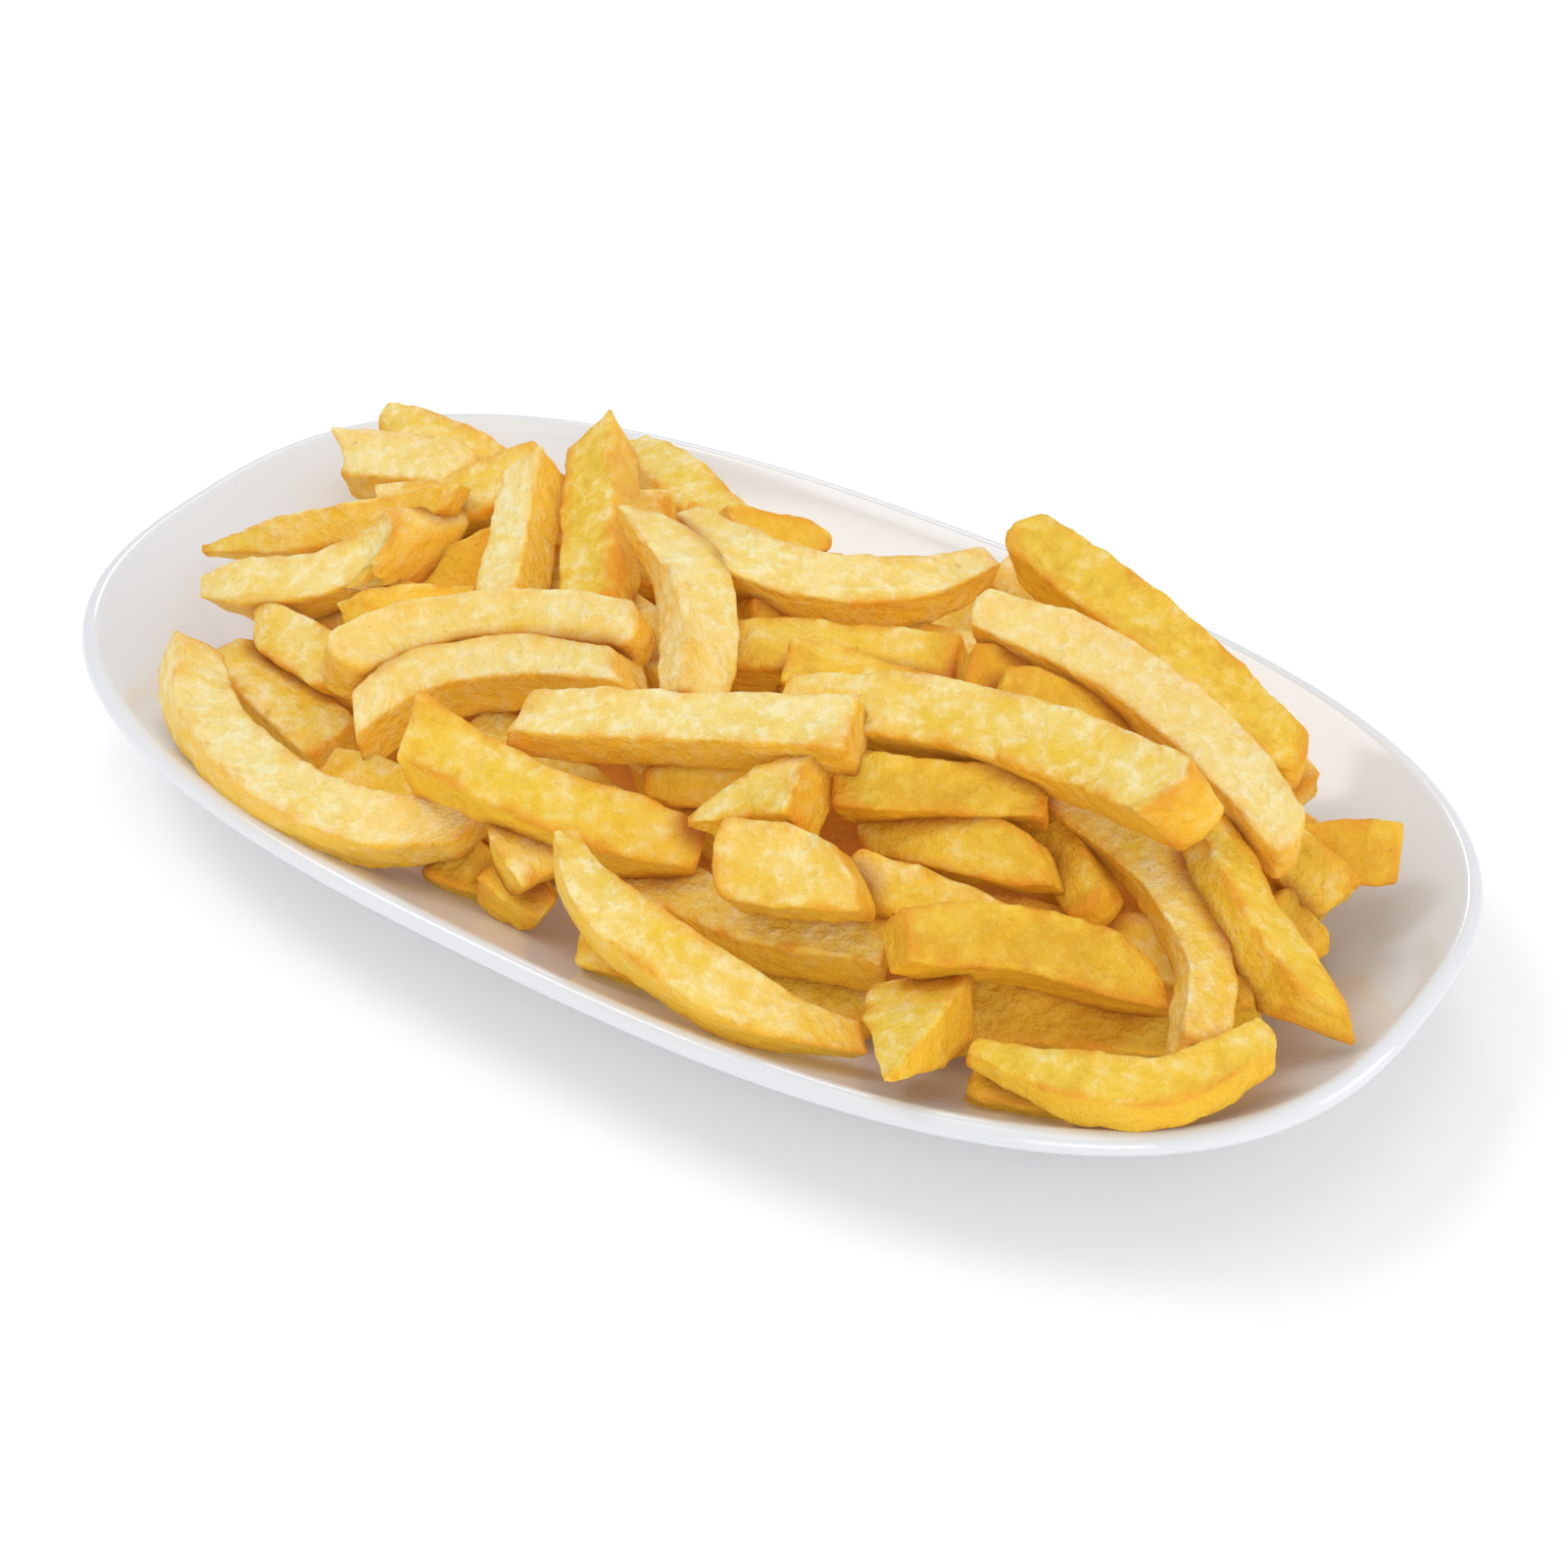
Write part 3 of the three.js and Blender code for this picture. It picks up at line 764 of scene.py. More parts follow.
# Fries that show, from the back of the heap to the front, where a later fry lies over an earlier one:
# centrelines in the picture, and the height of each end
SHOWN = (
    # Back left corner
    Fry(
        ((388, 441), (520, 490)), (29, 29), size=(9.5, 9), turn=30, ends=(0.7, 0.9), slant=(0.3, 0),
        nose=(0.5, 0),
    ),
    Fry(
        ((355, 474), (490, 486)), (30, 33), size=(10, 9.5), turn=35, ends=(1.05, 0.5), slant=(0.5, 0),
        nose=(-0.3, 0), fried=PALE,
    ),
    # Back wall
    Fry(((648, 455), (765, 572)), (30, 27), size=(11.5, 10), turn=30, ends=(0.4, 1), reach=0.4),
    Fry(((740, 548), (845, 555)), (24, 24), size=(8, 8), ends=(1, 0.45), nose=(0, 0.5), fried=GOLDEN),
    Fry(((455, 525), (560, 478)), (36, 34), size=(10, 9.5), turn=30),
    Fry(((430, 600), (520, 560)), (30, 30), turn=0, fried=GOLDEN),
    # Left end
    Fry(
        ((210, 567), (320, 552), (470, 510)), (23, 37), size=(7.5, 9), ends=(0.2, 0.6), slant=(0, 0.9),
        reach=0.4,
    ),
    Fry(
        ((216, 604), (325, 596), (438, 546)), (28, 40), size=(10, 10), turn=25, ends=(0.45, 1.3),
        slant=(0.5, 0), tilt=(0, -1.1), nose=(0, 0.6), fried=PALE,
    ),
    Fry(((362, 630), (520, 628)), (30, 30), size=(9, 9), ends=(0.8, 0.9), fried=GOLDEN),
    # Standing pair at the back
    Fry(
        ((546, 484), (515, 640)), (46, 36), size=(9.3, 9), turn=42, ends=(0.95, 1), tilt=(0.25, 0),
        fried=PALE,
    ),
    Fry(
        ((616, 458), (612, 640)), (48, 38), size=(10.4, 10), turn=38, ends=(0.95, 1), tilt=(0.5, 0),
        fried=GOLDEN,
    ),
    # Middle of the back
    Fry(((755, 634), (815, 632)), (32, 32), size=(9, 9), turn=0, fried=DEEP),
    Fry(
        ((698, 528), (760, 580), (850, 605), (940, 603), (1008, 578)), (44, 42), turn=40,
        ends=(0.5, 0.55), slant=(0, 0.3), fried=PALE,
    ),
    Fry(((740, 668), (982, 684)), (37, 36), size=(10, 10), turn=30, ends=(0.9, 1), fried=GOLDEN),
    Fry(((805, 682), (960, 722)), (41, 35), size=(9, 9), slant=(0, -0.6), fried=GOLDEN),
    Fry(
        ((652, 528), (702, 588), (714, 650), (706, 720)), (46, 38), turn=30, ends=(0.5, 0.95),
        slant=(-1, 0), reach=0.35, fried=PALE,
    ),
    # Right end, back
    Fry(
        ((1040, 552), (1180, 658), (1328, 788)), (46, 37), size=(10.5, 10), turn=30, ends=(0.95, 0.8),
        slant=(0, -0.3), nose=(0.7, 0.5), fried=GOLDEN,
    ),
    Fry(((985, 685), (1100, 720)), (35, 32), fried=DEEP),
    Fry(((1015, 712), (1160, 755)), (38, 34), turn=30, fried=DEEP),
    Fry(((1330, 868), (1425, 870)), (26, 26), size=(9, 9), turn=0, ends=(0.9, 0.95), fried=DEEP),
    Fry(((1265, 835), (1362, 926)), (32, 26), ends=(0.9, 0.8), fried=GOLDEN),
    Fry(((1300, 915), (1345, 980)), (26, 25), size=(6, 6), ends=(1, 0.6), fried=DEEP),
    Fry(((1225, 890), (1262, 1040)), (24, 20), size=(9, 9), turn=0, ends=(0.9, 0.8), fried=DEEP),
    Fry(
        ((1225, 850), (1285, 960), (1348, 1040)), (34, 26), size=(10, 10), turn=40, ends=(0.85, 0.6),
        slant=(0, 1.2), fried=GOLDEN,
    ),
    # Under the middle
    Fry(((1060, 840), (1122, 938)), (28, 28), turn=0, nose=(0, 0.6), fried=DEEP),
    Fry(((874, 894), (1022, 950)), (26, 26), turn=10, nose=(0.4, 0), fried=GOLDEN),
    Fry(
        ((885, 842), (1073, 885)), (33, 33), size=(10, 10), turn=10, ends=(0.8, 0.7), slant=(0, -0.8),
        nose=(0.4, 0), fried=GOLDEN,
    ),
    Fry(((750, 985), (895, 1035)), (19, 19), size=(9, 9), ends=(0.8, 0.8), fried=GOLDEN),
    Fry(((620, 885), (760, 945), (905, 975)), (30, 30), turn=30, ends=(0.8, 0.9)),
    Fry(((930, 1030), (1200, 1060)), (22, 22), size=(10, 10), fried=DEEP),
    Fry(
        ((914, 962), (1050, 970), (1188, 1012)), (32, 31), size=(10.5, 10), ends=(0.85, 0.5),
        slant=(0, -0.8), fried=DEEP,
    ),
    Fry(
        ((1085, 820), (1175, 890), (1225, 985), (1217, 1078)), (36, 28), size=(7.8, 8), turn=25,
        ends=(0.9, 0.85),
    ),
    Fry(
        ((996, 628), (1110, 675), (1220, 755), (1322, 872)), (48, 36), size=(10, 10), turn=25,
        ends=(0.9, 0.75), slant=(0, -0.5), nose=(0.4, 0.5), fried=PALE,
    ),
    Fry(((855, 800), (1068, 815)), (40, 40), size=(10, 10), turn=10, fried=GOLDEN),
    Fry(
        ((655, 795), (800, 803)), (30, 30), size=(9, 9), turn=0, ends=(0.75, 0.9), nose=(0.6, 0),
        fried=GOLDEN,
    ),
    # Front left
    Fry(((228, 672), (345, 775)), (25, 22), size=(12.5, 10), turn=30, ends=(0.6, 0.9)),
    Fry(((268, 640), (362, 695)), (30, 30), size=(9, 9), turn=10, ends=(0.6, 0.9), slant=(0.8, 0)),
    Fry(
        ((340, 688), (420, 652), (520, 638), (660, 652)), (33, 41), size=(10, 10), turn=30,
        ends=(1, 0.9), slant=(0.2, 0), tilt=(-0.3, 0), nose=(0.5, 0.5), fried=PALE,
    ),
    Fry(((335, 800), (510, 840)), (24, 26), fried=GOLDEN),
    Fry(
        ((364, 744), (424, 702), (520, 683), (645, 690)), (33, 43), size=(10, 10), turn=30,
        ends=(0.85, 0.85), slant=(-0.7, -0.8), nose=(0, 0.2), fried=PALE,
    ),
    Fry(((440, 890), (508, 912)), (24, 24), size=(9, 9), turn=10, fried=DEEP),
    Fry(
        ((196, 678), (207, 735), (270, 806), (370, 853), (490, 858)), (30, 31), size=(10.5, 10), turn=25,
        ends=(0.85, 0.75), slant=(-0.4, 0.7), nose=(0.4, 0.4), fried=PALE,
    ),
    Fry(((505, 890), (558, 942)), (24, 24), size=(9, 9), turn=10, ends=(0.9, 0.8), fried=GOLDEN),
    Fry(((520, 845), (550, 900)), (27, 26), size=(9, 8), turn=10, ends=(0.7, 0.9)),
    Fry(((594, 976), (740, 1012)), (23, 16), size=(8, 8), turn=10, fried=GOLDEN),
    # Top of the heap
    Fry(
        ((424, 756), (560, 825), (714, 872)), (38, 35), size=(11, 10), ends=(1.15, 0.65), slant=(0.3, 0),
        fried=GOLDEN,
    ),
    Fry(
        ((800, 722), (960, 738), (1090, 775), (1218, 828)), (44, 44), size=(10.5, 10), turn=25,
        ends=(0.9, 0.95), tilt=(0, -0.35), nose=(0, 0.3),
    ),
    Fry(
        ((532, 735), (878, 750)), (42, 48), size=(10.5, 10), turn=25, ends=(0.8, 1.05), slant=(-0.5, 0),
        fried=PALE,
    ),
    Fry(
        ((702, 838), (832, 814)), (38, 40), size=(8.5, 8.5), turn=40, ends=(0.15, 1.3), slant=(0, 0.3),
        reach=0.6,
    ),
    Fry(
        ((739, 880), (880, 903)), (39, 39), size=(13, 9), turn=12, ends=(0.95, 0.9), slant=(0, -0.7),
        tilt=(0.3, 0), nose=(0.25, 0.3), reach=0.4,
    ),
    # Front
    Fry(
        ((576, 852), (600, 910), (680, 978), (780, 1036), (876, 1062)), (36, 25), size=(10, 8.5),
        ends=(0.35, 0.5), slant=(0, -0.4), nose=(0.4, 0), reach=0.35,
    ),
    Fry(
        ((948, 1040), (903, 1165)), (16, 22), size=(11, 9), turn=42, ends=(1.3, 0.1), reach=0.6,
        fried=GOLDEN,
    ),
    Fry(((990, 1128), (1085, 1155)), (22, 22), size=(9, 8), turn=10, ends=(0.8, 0.8), fried=DEEP),
    Fry(
        ((992, 1072), (1080, 1103), (1190, 1114), (1298, 1062)), (28, 28), size=(8, 7.5), turn=30,
        ends=(0.4, 0.85), nose=(0.3, 0.6), reach=0.35, fried=GOLDEN,
    ),
)


def smooth_line(points: np.ndarray, count: int, span_steps: int = 41) -> np.ndarray:
    """Even steps along the smooth curve through a few points.

    Args:
        points: The points, one in each row.
        count: How many steps are wanted.
        span_steps: How many steps each span of the curve is measured in.

    Returns:
        The stepped points.
    """
    ends = np.vstack([2 * points[0] - points[1], points, 2 * points[-1] - points[-2]])
    share = np.linspace(0, 1, span_steps)[:, None]
    spans = []
    for p0, p1, p2, p3 in zip(ends, ends[1:], ends[2:], ends[3:]):
        d0, d1, d2 = (math.sqrt(np.linalg.norm(b - a)) for a, b in ((p0, p1), (p1, p2), (p2, p3)))
        leave = d1 * ((p1 - p0) / d0 - (p2 - p0) / (d0 + d1) + (p2 - p1) / d1)
        reach = d1 * ((p2 - p1) / d1 - (p3 - p1) / (d1 + d2) + (p3 - p2) / d2)
        bend = 3 * (p2 - p1) - 2 * leave - reach
        spans.append(p1 + leave * share + bend * share ** 2 + (2 * (p1 - p2) + leave + reach) * share ** 3)
    line = np.vstack(spans)
    run = np.concatenate([[0.0], np.cumsum(np.linalg.norm(np.diff(line, axis=0), axis=1))])
    even = np.linspace(0, run[-1], count)
    return np.column_stack([np.interp(even, run, column) for column in line.T])


@dataclass(frozen=True)
class Core:
    """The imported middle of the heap, which the fries are pressed into."""

    half_width: float = 48.0
    top: float = 37.0
    drop: float = 25.0
    curve: float = 1.8
    bed: float = 2.0
    sunk: float = 2.0
    inset: float = 10.0
    floor_gap: float = 0.3
    wall_gap: float = 0.5
    lump: float = 2.5
    lump_scale: float = 90.0
    lump_from: float = 4.0
    steps: int = 24
    sides: int = 72

    def top_at(self, r: np.ndarray) -> np.ndarray:
        """Height of the core on the rings of half width r."""
        dome = self.top - self.drop * (r / self.half_width) ** self.curve
        return np.where(r <= self.half_width, dome, 0.0)

    def build(self, dish: OvalDish) -> bpy.types.Object:
        """Models the core as a lumpy mound on the dish's floor, a little smaller than the fries settle on.

        Args:
            dish: The dish that it lies in.

        Returns:
            The core's object.
        """
        rings = np.linspace(self.half_width - self.inset, 0.0, self.steps + 1)
        inside = dish.inside_at(rings)[0] + self.wall_gap
        tops = np.maximum(self.top_at(rings) - self.sunk, inside)
        base = dish.floor_top + self.floor_gap
        profile = [(0.0, base), (dish.floor_half_width, base), (rings[0], inside[0]), *zip(rings, tops)]
        body = dish.turn_oval(profile, self.sides)
        for vert in body.verts:
            if vert.co.z > (dish.floor_top + self.lump_from) * MM:
                lump = noise.noise(vert.co * self.lump_scale) * self.lump
                vert.co.z += (lump - self.lump / 2) * MM
        mesh = new_mesh("packed_core", body)
        mesh.materials.append(CoreFinish().material())
        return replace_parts(new_piece("packed_core", mesh), "fries")


@dataclass(frozen=True)
class Settling:
    """How the fries come to rest: they press each other apart, sink a little and are lifted off the dish."""

    samples: int = 9
    rounds: int = 120
    contact: float = 0.9
    share: float = 0.35
    memory: float = 0.02
    weight: float = 0.05
    lift: float = 0.7
    ease: float = 0.98
    gap: float = 0.3

    def lines(self, fries: tuple[Fry, ...], plan: int, view: View) -> tuple[np.ndarray, np.ndarray]:
        """The lines that the samples of each fry can move along.

        Args:
            fries: All fries, the hidden ones first.
            plan: How many of them are drawn in plan.
            view: The eye that the others are drawn from.

        Returns:
            The foot of each line on the table, and its run for each unit of height.
        """
        feet, runs = [], []
        for number, fry in enumerate(fries):
            path = smooth_line(np.array(fry.path, float), self.samples)
            if number < plan:
                foot = np.column_stack([path, np.zeros(self.samples)])
                run = np.tile((0.0, 0.0, 1.0), (self.samples, 1))
            else:
                foot, run = view.sight_lines(path)
            feet.append(foot)
            runs.append(run)
        return np.array(feet), np.array(runs)

    def end_moves(self, moves: np.ndarray) -> np.ndarray:
        """The moves that each fry's ends take from its samples.

        Args:
            moves: How far each sample of each fry is pushed.

        Returns:
            The largest push for each end of each fry, weighted by the sample's nearness to that end.
        """
        near = np.linspace(0, 1, self.samples)
        weighted = moves[:, :, None] * np.column_stack([1 - near, near])
        pick = np.abs(weighted).argmax(axis=1)
        return np.take_along_axis(weighted, pick[:, None, :], axis=1)[:, 0]

    def settle(self, fries: tuple[Fry, ...], plan: int, view: View, dish: OvalDish, core: Core) -> np.ndarray:
        """Brings the heap to rest.

        Args:
            fries: All fries, the hidden ones first and then from the back to the front.
            plan: How many of them are drawn in plan.
            view: The eye that the others are drawn from.
            dish: The dish under them.
            core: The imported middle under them.

        Returns:
            The settled samples of each fry.
        """
        feet, runs = self.lines(fries, plan, view)
        count = len(fries)
        radius = np.repeat([fry.radius for fry in fries], self.samples)
        owner = np.repeat(np.arange(count), self.samples)
        reach = self.contact * (radius[:, None] + radius)
        later = owner[:, None] > owner
        earlier = owner[:, None] < owner
        rest = np.array([fry.rest for fry in fries], float)
        heights, lifts = rest.copy(), np.zeros_like(rest)
        near = np.linspace(0, 1, self.samples)
        ends = np.vstack([1 - near, near])
        for _ in range(self.rounds + 1):
            points = feet + runs * (heights @ ends)[:, :, None]
            points[:, :, 2] += lifts @ ends
            flat = points.reshape(-1, 3)
            square = (flat ** 2).sum(axis=1)
            gaps = np.sqrt(np.clip(square[:, None] + square - 2 * flat @ flat.T, 0, None))
            overlap = np.clip(reach - gaps, 0, None)
            raised = np.where(later, overlap, 0).max(axis=1)
            lowered = np.where(earlier, overlap, 0).max(axis=1)
            ring = dish.ring_through(flat[:, 0], flat[:, 1])
            bed = np.clip(core.top_at(ring) + core.bed - flat[:, 2], 0, None)
            push = self.end_moves((self.share * (np.maximum(bed, raised) - lowered)).reshape(count, -1))
            floor, slope = dish.inside_at(ring)
            clear = np.clip(floor + (radius + self.gap) * np.hypot(1, slope) - flat[:, 2], 0, None)
            heights += push - self.weight
            heights += self.memory * (rest - heights)
            lifts = self.ease * lifts + self.lift * self.end_moves(clear.reshape(count, -1))
        return points


@dataclass(frozen=True)
class Cast:
    """A straight stick: its points, with a unit section and 0 to 1 along it, and what belongs to them."""

    points: np.ndarray
    normals: np.ndarray
    faces: list[list[int]]
    edge: np.ndarray

    @property
    def end(self) -> np.ndarray:
        """The end that each point is nearer to: 0 for the first and 1 for the last."""
        return (self.points[:, 2] > 0.5).astype(int)

    @property
    def from_end(self) -> np.ndarray:
        """How far each point is from its nearer end, as a share of the length."""
        return 0.5 - np.abs(self.points[:, 2] - 0.5)

    def near_end(self, reach: float) -> np.ndarray:
        """How near each point is to an end, from 0 at a share of the length to 1 at the end."""
        return np.clip(1 - self.from_end / reach, 0, None)


@dataclass(frozen=True)
class StickMould:
    """A square-cut stick with rounded edges, which every fry is bent from."""

    width: float = 10.0
    length_step: int = 4
    least_length: int = 8
    rounding: float = 0.7
    round_steps: int = 2
    sharp_angle: float = 1.0
    across: int = 8
    cell: float = 1.25
    least_cuts: int = 2
    edge_reach: float = 0.18

    def cast_for(self, length: float, coarse: int) -> Cast:
        """The stick whose length is nearest, so that fries of about one length share it."""
        return self.cast(max(self.least_length, self.length_step * round(length / self.length_step)), coarse)

    @lru_cache(maxsize=None)
    def cast(self, length: int, coarse: int) -> Cast:
        """Models one straight stick.

        Args:
            length: Its length in millimetres.
            coarse: How many times larger than usual its cells are.

        Returns:
            The stick's arrays.
        """
        stick = bmesh.new()
        bmesh.ops.create_cube(stick, size=1.0)
        bmesh.ops.scale(stick, verts=stick.verts, vec=(self.width, self.width, length))
        long = [e for e in stick.edges if abs(e.verts[0].co.z - e.verts[1].co.z) > length / 2]
        cuts = max(self.least_cuts, round(length / (self.cell * coarse)) - 1)
        bmesh.ops.subdivide_edges(stick, edges=long, cuts=cuts, use_grid_fill=True)
        level = [e for e in stick.edges if abs(e.verts[0].co.z - e.verts[1].co.z) < TINY]
        bmesh.ops.subdivide_edges(stick, edges=level, cuts=self.across // coarse - 1, use_grid_fill=True)
        sharp = [e for e in stick.edges if e.calc_face_angle(0.0) > self.sharp_angle]
        bmesh.ops.bevel(
            stick, geom=sharp, offset=self.rounding, segments=self.round_steps, profile=0.5, affect="EDGES",
            clamp_overlap=True, material=-1,
        )
        bmesh.ops.triangulate(stick, faces=[face for face in stick.faces if len(face.verts) > 4])
        bmesh.ops.recalc_face_normals(stick, faces=stick.faces)
        stick.normal_update()
        stick.verts.index_update()
        points = np.array([vert.co for vert in stick.verts])
        normals = np.array([vert.normal for vert in stick.verts])
        faces = [[vert.index for vert in face.verts] for face in stick.faces]
        stick.free()
        points /= (self.width, self.width, length)
        depths = np.sort((0.5 - np.abs(points)) * (1.0, 1.0, length / self.width), axis=1)
        edge = np.clip(1 - depths[:, 1] / self.edge_reach, 0, 1)
        points[:, 2] += 0.5
        return Cast(points, normals, faces, edge)


@dataclass
class Heap:
    """The settled fries, modelled one by one and joined as one piece."""

    view: View
    dish: OvalDish
    core: Core
    settling: Settling = field(default_factory=Settling)
    mould: StickMould = field(default_factory=StickMould)
    hidden_cells: int = 2
    waves: Triple = (7.0, 17.0, 5.0)
    swell: Pair = (0.03, 0.02)
    drift: float = 0.08
    skew: float = 0.07
    wedge: float = 0.08
    hollow: Pair = (-0.02, 0.06)
    taper_power: float = 1.3
    uneven_cut: Pair = (0.12, 0.2)
    lump: Pair = (0.26, 0.18)
    lump_size: Pair = (4.5, 1.9)
    lump_apart: float = 50.0
    ragged: float = 0.8
    bend_steps: int = 65
    tip_reach: float = 6.0
    tone_spread: float = 0.05
    # Painted light: how much paler the tone is painted on the side of each fry towards the light.
    painted_light_fade: float = 0.13
    gap_reach: float = 6.0
    line_steps: int = 25
    line_ends: int = 3
    grain_apart: float = 500.0
    # The direction the light falls from, which the painted light and shade on the fries follow.
    light_side: Triple = (-0.46, -0.05, 0.887)
    seed: int = 7

    def section(self, fry: Fry, cast: Cast, draw: np.random.Generator) -> np.ndarray:
        """Gives a straight stick the fry's uneven section and tapered ends.

        Args:
            fry: The fry.
            cast: The straight stick.
            draw: The heap's random draws.

        Returns:
            The depth and width of each point in millimetres.
        """
        x, y, s = cast.points.T
        starts = draw.uniform(0, 2 * math.pi, 3)
        slow, quick, sway = (np.sin(count * s + start) for count, start in zip(self.waves, starts))
        swell = 1 + self.swell[0] * slow + self.swell[1] * quick
        swell = swell + draw.normal(0, self.drift) * (2 * s - 1)
        lean = draw.normal(0, self.skew) + self.skew * sway
        wedge = draw.normal(0, self.wedge, 2)
        dip = 2 * draw.uniform(*self.hollow, 4)
        u = x * (1 - np.where(x > 0, dip[0], dip[1]) * (1 - 4 * y * y)) * (1 + wedge[0] * 2 * y) + lean * y
        v = y * (1 - np.where(y > 0, dip[2], dip[3]) * (1 - 4 * x * x)) * (1 + wedge[1] * 2 * x)
        taper = 1 + (np.array(fry.ends)[cast.end] - 1) * cast.near_end(fry.reach) ** self.taper_power
        return np.column_stack([u * fry.size[1], v * fry.size[0]]) * (taper * swell)[:, None]

    def lumps(self, points: np.ndarray, draw: np.random.Generator) -> np.ndarray:
        """Heights of the lumps and pits on a fry's faces.

        Args:
            points: The straight fry's points in millimetres.
            draw: The heap's random draws.

        Returns:
            The height at each point in millimetres.
        """
        start = draw.uniform(-self.lump_apart, self.lump_apart, 3)
        heights = np.zeros(len(points))
        for high, size in zip(self.lump, self.lump_size):
            heights += [high * noise.noise(place) for place in points / size + start]
        return heights

    def bend(
        self, fry: Fry, samples: np.ndarray, cast: Cast, local: np.ndarray, draw: np.random.Generator
    ) -> tuple[np.ndarray, np.ndarray]:
        """Cuts a straight fry's ends and bends it along its settled centreline.

        Args:
            fry: The fry.
            samples: Its settled samples.
            cast: The straight stick.
            local: Its points' depth, width and stray along it, in millimetres.
            draw: The heap's random draws.

        Returns:
            The bent points in millimetres, and how far each lies towards the light in half thicknesses, for
            painted light.
        """
        line = smooth_line(samples, self.bend_steps)
        along = np.gradient(line, axis=0)
        along /= np.linalg.norm(along, axis=1, keepdims=True)
        facing = self.view.eye - line
        facing -= (facing * along).sum(axis=1, keepdims=True) * along
        facing /= np.linalg.norm(facing, axis=1, keepdims=True)
        side = np.cross(along, facing)
        upper = -1.0 if side[self.bend_steps // 2] @ self.view.up < 0 else 1.0
        turn = upper * math.radians(fry.turn)
        marks = np.linspace(0, 1, self.bend_steps)
        at, ahead, front, beside = (
            np.column_stack([np.interp(cast.points[:, 2], marks, column) for column in table.T])
            for table in (line, along, facing, side)
        )
        u = local[:, 0] * math.cos(turn) - local[:, 1] * math.sin(turn)
        v = local[:, 0] * math.sin(turn) + local[:, 1] * math.cos(turn)
        slant = np.where(fry.slant, fry.slant, draw.normal(0, self.uneven_cut[0], 2))
        tilt = np.where(fry.tilt, fry.tilt, draw.normal(0, self.uneven_cut[1], 2))
        nose = np.array(fry.nose)[cast.end] * 2 * local[:, 1] ** 2 / fry.size[0]
        cut = slant[cast.end] * upper * local[:, 1] + tilt[cast.end] * u - nose
        stray = local[:, 2] + cast.near_end(fry.reach) * cut * np.where(cast.end == 0, -1, 1)
        off = front * u[:, None] + beside * v[:, None]
        return at + ahead * stray[:, None] + off, off @ np.array(self.light_side) / fry.radius

    def model(
        self, fry: Fry, samples: np.ndarray, coarse: int, draw: np.random.Generator
    ) -> tuple[dict[str, np.ndarray], list[list[int]]]:
        """Models one fry.

        Args:
            fry: The fry.
            samples: Its settled samples.
            coarse: How many times larger than usual its cells are.
            draw: The heap's random draws.

        Returns:
            Its points and what the finish reads at each of them, and its faces.
        """
        length = float(np.linalg.norm(np.diff(samples, axis=0), axis=1).sum())
        cast = self.mould.cast_for(length, coarse)
        straight = np.column_stack([self.section(fry, cast, draw), cast.points[:, 2] * length])
        rough = cast.normals * (self.lumps(straight, draw) * (1 + self.ragged * cast.edge))[:, None]
        points, rise = self.bend(fry, samples, cast, straight * (1, 1, 0) + rough, draw)
        marks = {
            "point": points * MM,
            # The tone is painted paler on the side towards the light.
            "tone": fry.fried.value + draw.normal(0, self.tone_spread) - self.painted_light_fade * rise,
            "edge": cast.edge,
            "tip": np.clip(1 - length * cast.from_end / self.tip_reach, 0, 1),
            "stick": (straight + draw.uniform(-self.grain_apart, self.grain_apart, 3)) * MM,
        }
        return marks, cast.faces

    def crevices(self, number: int, points: np.ndarray, lines: np.ndarray, radii: np.ndarray) -> np.ndarray:
        """How near each point of a fry lies to the other fries.

        Args:
            number: The fry's place in the heap.
            points: Its points in millimetres.
            lines: Steps along the settled centreline of each fry.
            radii: Half of each fry's thickness.

        Returns:
            1 where another fry touches, down to 0 where none is near.
        """
        others = np.delete(lines, number, axis=0).reshape(-1, 3)
        thick = np.repeat(np.delete(radii, number), lines.shape[1])
        square = (points ** 2).sum(axis=1)[:, None] + (others ** 2).sum(axis=1) - 2 * points @ others.T
        gap = (np.sqrt(np.clip(square, 0, None)) - thick).min(axis=1)
        return np.clip(1 - gap / self.gap_reach, 0, 1)

    def build(self) -> bpy.types.Object:
        """Settles the fries, models them and marks what their finish reads.

        Returns:
            The fries' object.
        """
        fries = HIDDEN + SHOWN
        settled = self.settling.settle(fries, len(HIDDEN), self.view, self.dish, self.core)
        middle = slice(self.line_ends, -self.line_ends)
        lines = np.array([smooth_line(samples, self.line_steps)[middle] for samples in settled])
        radii = np.array([fry.radius for fry in fries])
        draw = np.random.default_rng(self.seed)
        made, faces, start = [], [], 0
        for number, (fry, samples) in enumerate(zip(fries, settled)):
            coarse = self.hidden_cells if number < len(HIDDEN) else 1
            marks, fry_faces = self.model(fry, samples, coarse, draw)
            marks["crevice"] = self.crevices(number, marks["point"] / MM, lines, radii)
            made.append(marks)
            faces.extend([start + corner for corner in face] for face in fry_faces)
            start += len(marks["point"])
        joined = {name: np.concatenate([marks[name] for marks in made]) for name in made[0]}
        mesh = bpy.data.meshes.new("fries_heap")
        mesh.from_pydata(joined["point"], [], faces)
        normals = np.empty(3 * start)
        mesh.vertex_normals.foreach_get("vector", normals)
        # How far each face turns away from the light, which gets the painted glow.
        joined["side"] = 1 - np.clip(normals.reshape(-1, 3) @ np.array(self.light_side), 0, 1)
        for name in ("tone", "side", "edge", "tip", "crevice"):
            mesh.attributes.new(name, "FLOAT", "POINT").data.foreach_set("value", joined[name])
        place = mesh.attributes.new("stick", "FLOAT_VECTOR", "POINT")
        place.data.foreach_set("vector", joined["stick"].ravel())
        mesh.materials.append(PotatoFinish().material())
        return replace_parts(new_piece("fries_heap", mesh), "fries")


# The studio

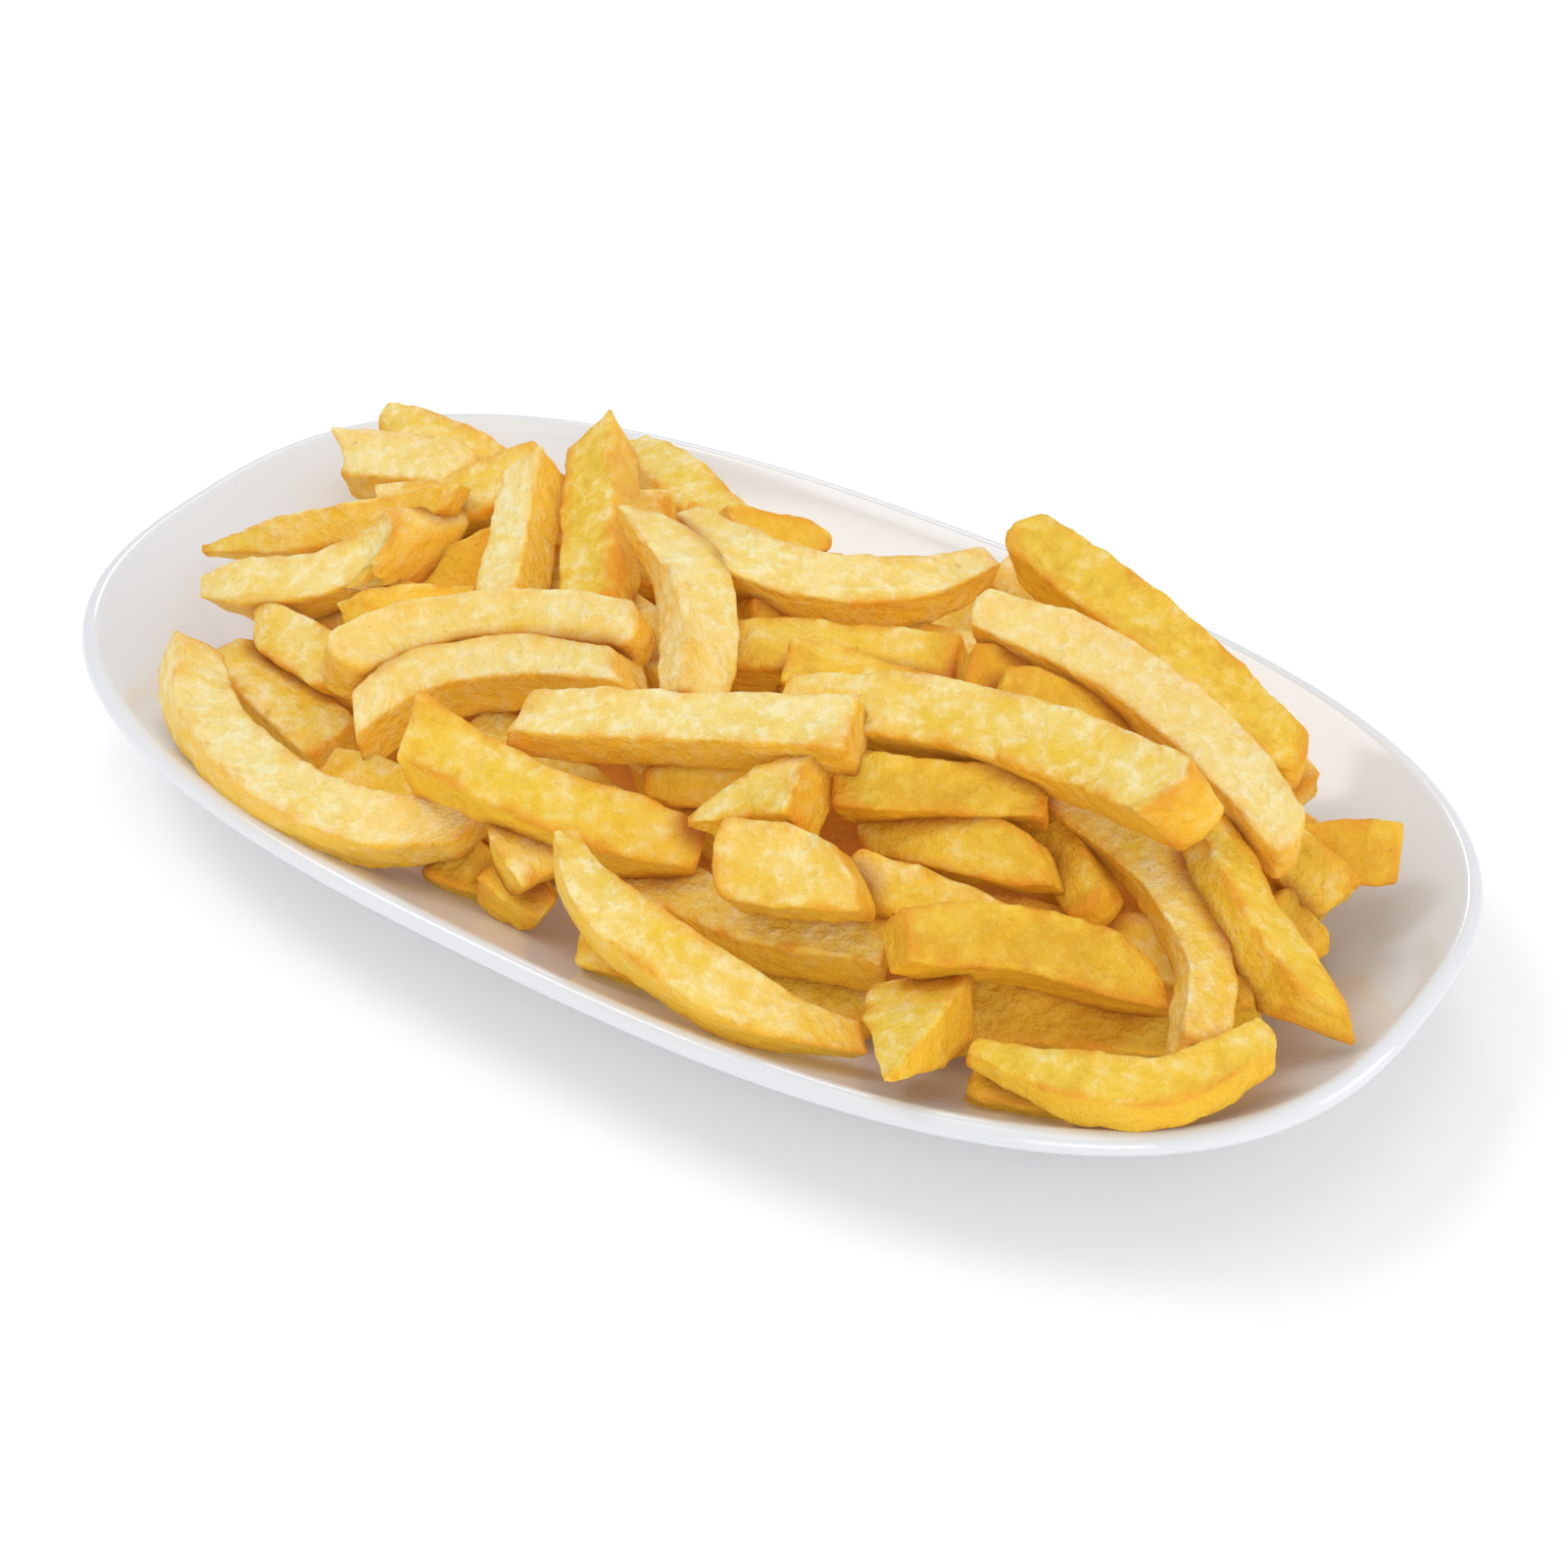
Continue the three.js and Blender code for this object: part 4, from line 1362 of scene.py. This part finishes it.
@dataclass(frozen=True)
class Softbox:
    """A large square light that looks at the middle of the heap, at an azimuth and elevation in degrees."""

    name: str
    azimuth: float
    elevation: float
    distance: float
    size: float
    power: float
    shadow: bool = True

    def place(self) -> bpy.types.Object:
        """Adds the light.

        Returns:
            The light's object.
        """
        data = bpy.data.lights.new(self.name, "AREA")
        data.shape = "SQUARE"
        data.size = self.size
        data.energy = self.power
        data.use_shadow = self.shadow
        light = new_object(self.name, data)
        back = Vector(direction(math.radians(self.azimuth), math.radians(self.elevation)))
        light.location = back * self.distance
        light.rotation_mode = "QUATERNION"
        light.rotation_quaternion = back.to_track_quat("Z", "Y")
        return light


@dataclass(frozen=True)
class Studio:
    """A pale floor under plain soft light."""

    floor_size: float = 6.0
    floor_cells: int = 8
    floor_drop: float = 0.0002
    floor_colour: Colour = (0.99, 0.99, 0.99, 1.0)
    floor_roughness: float = 0.9
    sky_colour: Colour = (1.0, 1.0, 1.0, 1.0)
    sky: float = 0.70
    lights: tuple[Softbox, ...] = (
        Softbox("key_light", azimuth=-75, elevation=58, distance=3, size=1.1, power=16),
        Softbox("back_light", azimuth=215, elevation=40, distance=3, size=0.6, power=6),
        Softbox("top_light", azimuth=0, elevation=85, distance=3, size=1.4, power=7.5),
        Softbox("front_light", azimuth=37, elevation=15, distance=3.5, size=1.6, power=30, shadow=False),
        Softbox("right_light", azimuth=115, elevation=15, distance=3.5, size=1.6, power=25, shadow=False),
    )

    def build(self) -> None:
        """Lays the floor, lights the room and sets plain colours."""
        body = bmesh.new()
        cells = self.floor_cells
        bmesh.ops.create_grid(body, x_segments=cells, y_segments=cells, size=self.floor_size / 2)
        bmesh.ops.translate(body, verts=body.verts, vec=(0, 0, -self.floor_drop))
        mesh = new_mesh("floor", body)
        material, wiring, shader = new_material("pale_floor")
        wiring.feed(shader, {"Base Color": self.floor_colour, "Roughness": self.floor_roughness})
        mesh.materials.append(material)
        floor = new_object("floor", mesh)
        world = bpy.data.worlds.new("studio")
        world.use_nodes = True
        sky = next(node for node in world.node_tree.nodes if node.type == "BACKGROUND")
        Wiring(world.node_tree).feed(sky, {"Color": self.sky_colour, "Strength": self.sky})
        bpy.context.scene.world = world
        bpy.context.scene.view_settings.view_transform = "Standard"
        for light in self.lights:
            light.place()


def main() -> None:
    """Builds the portion and its studio in order."""
    logging.basicConfig(level=logging.INFO, format="%(name)s: %(message)s")
    view = View()
    view.place_camera()
    dish = OvalDish.from_frame()
    dish.build()
    core = Core()
    core.build(dish)
    Heap(view, dish, core).build()
    Studio().build()
    bpy.context.view_layer.update()


if __name__ == "__main__":
    main()
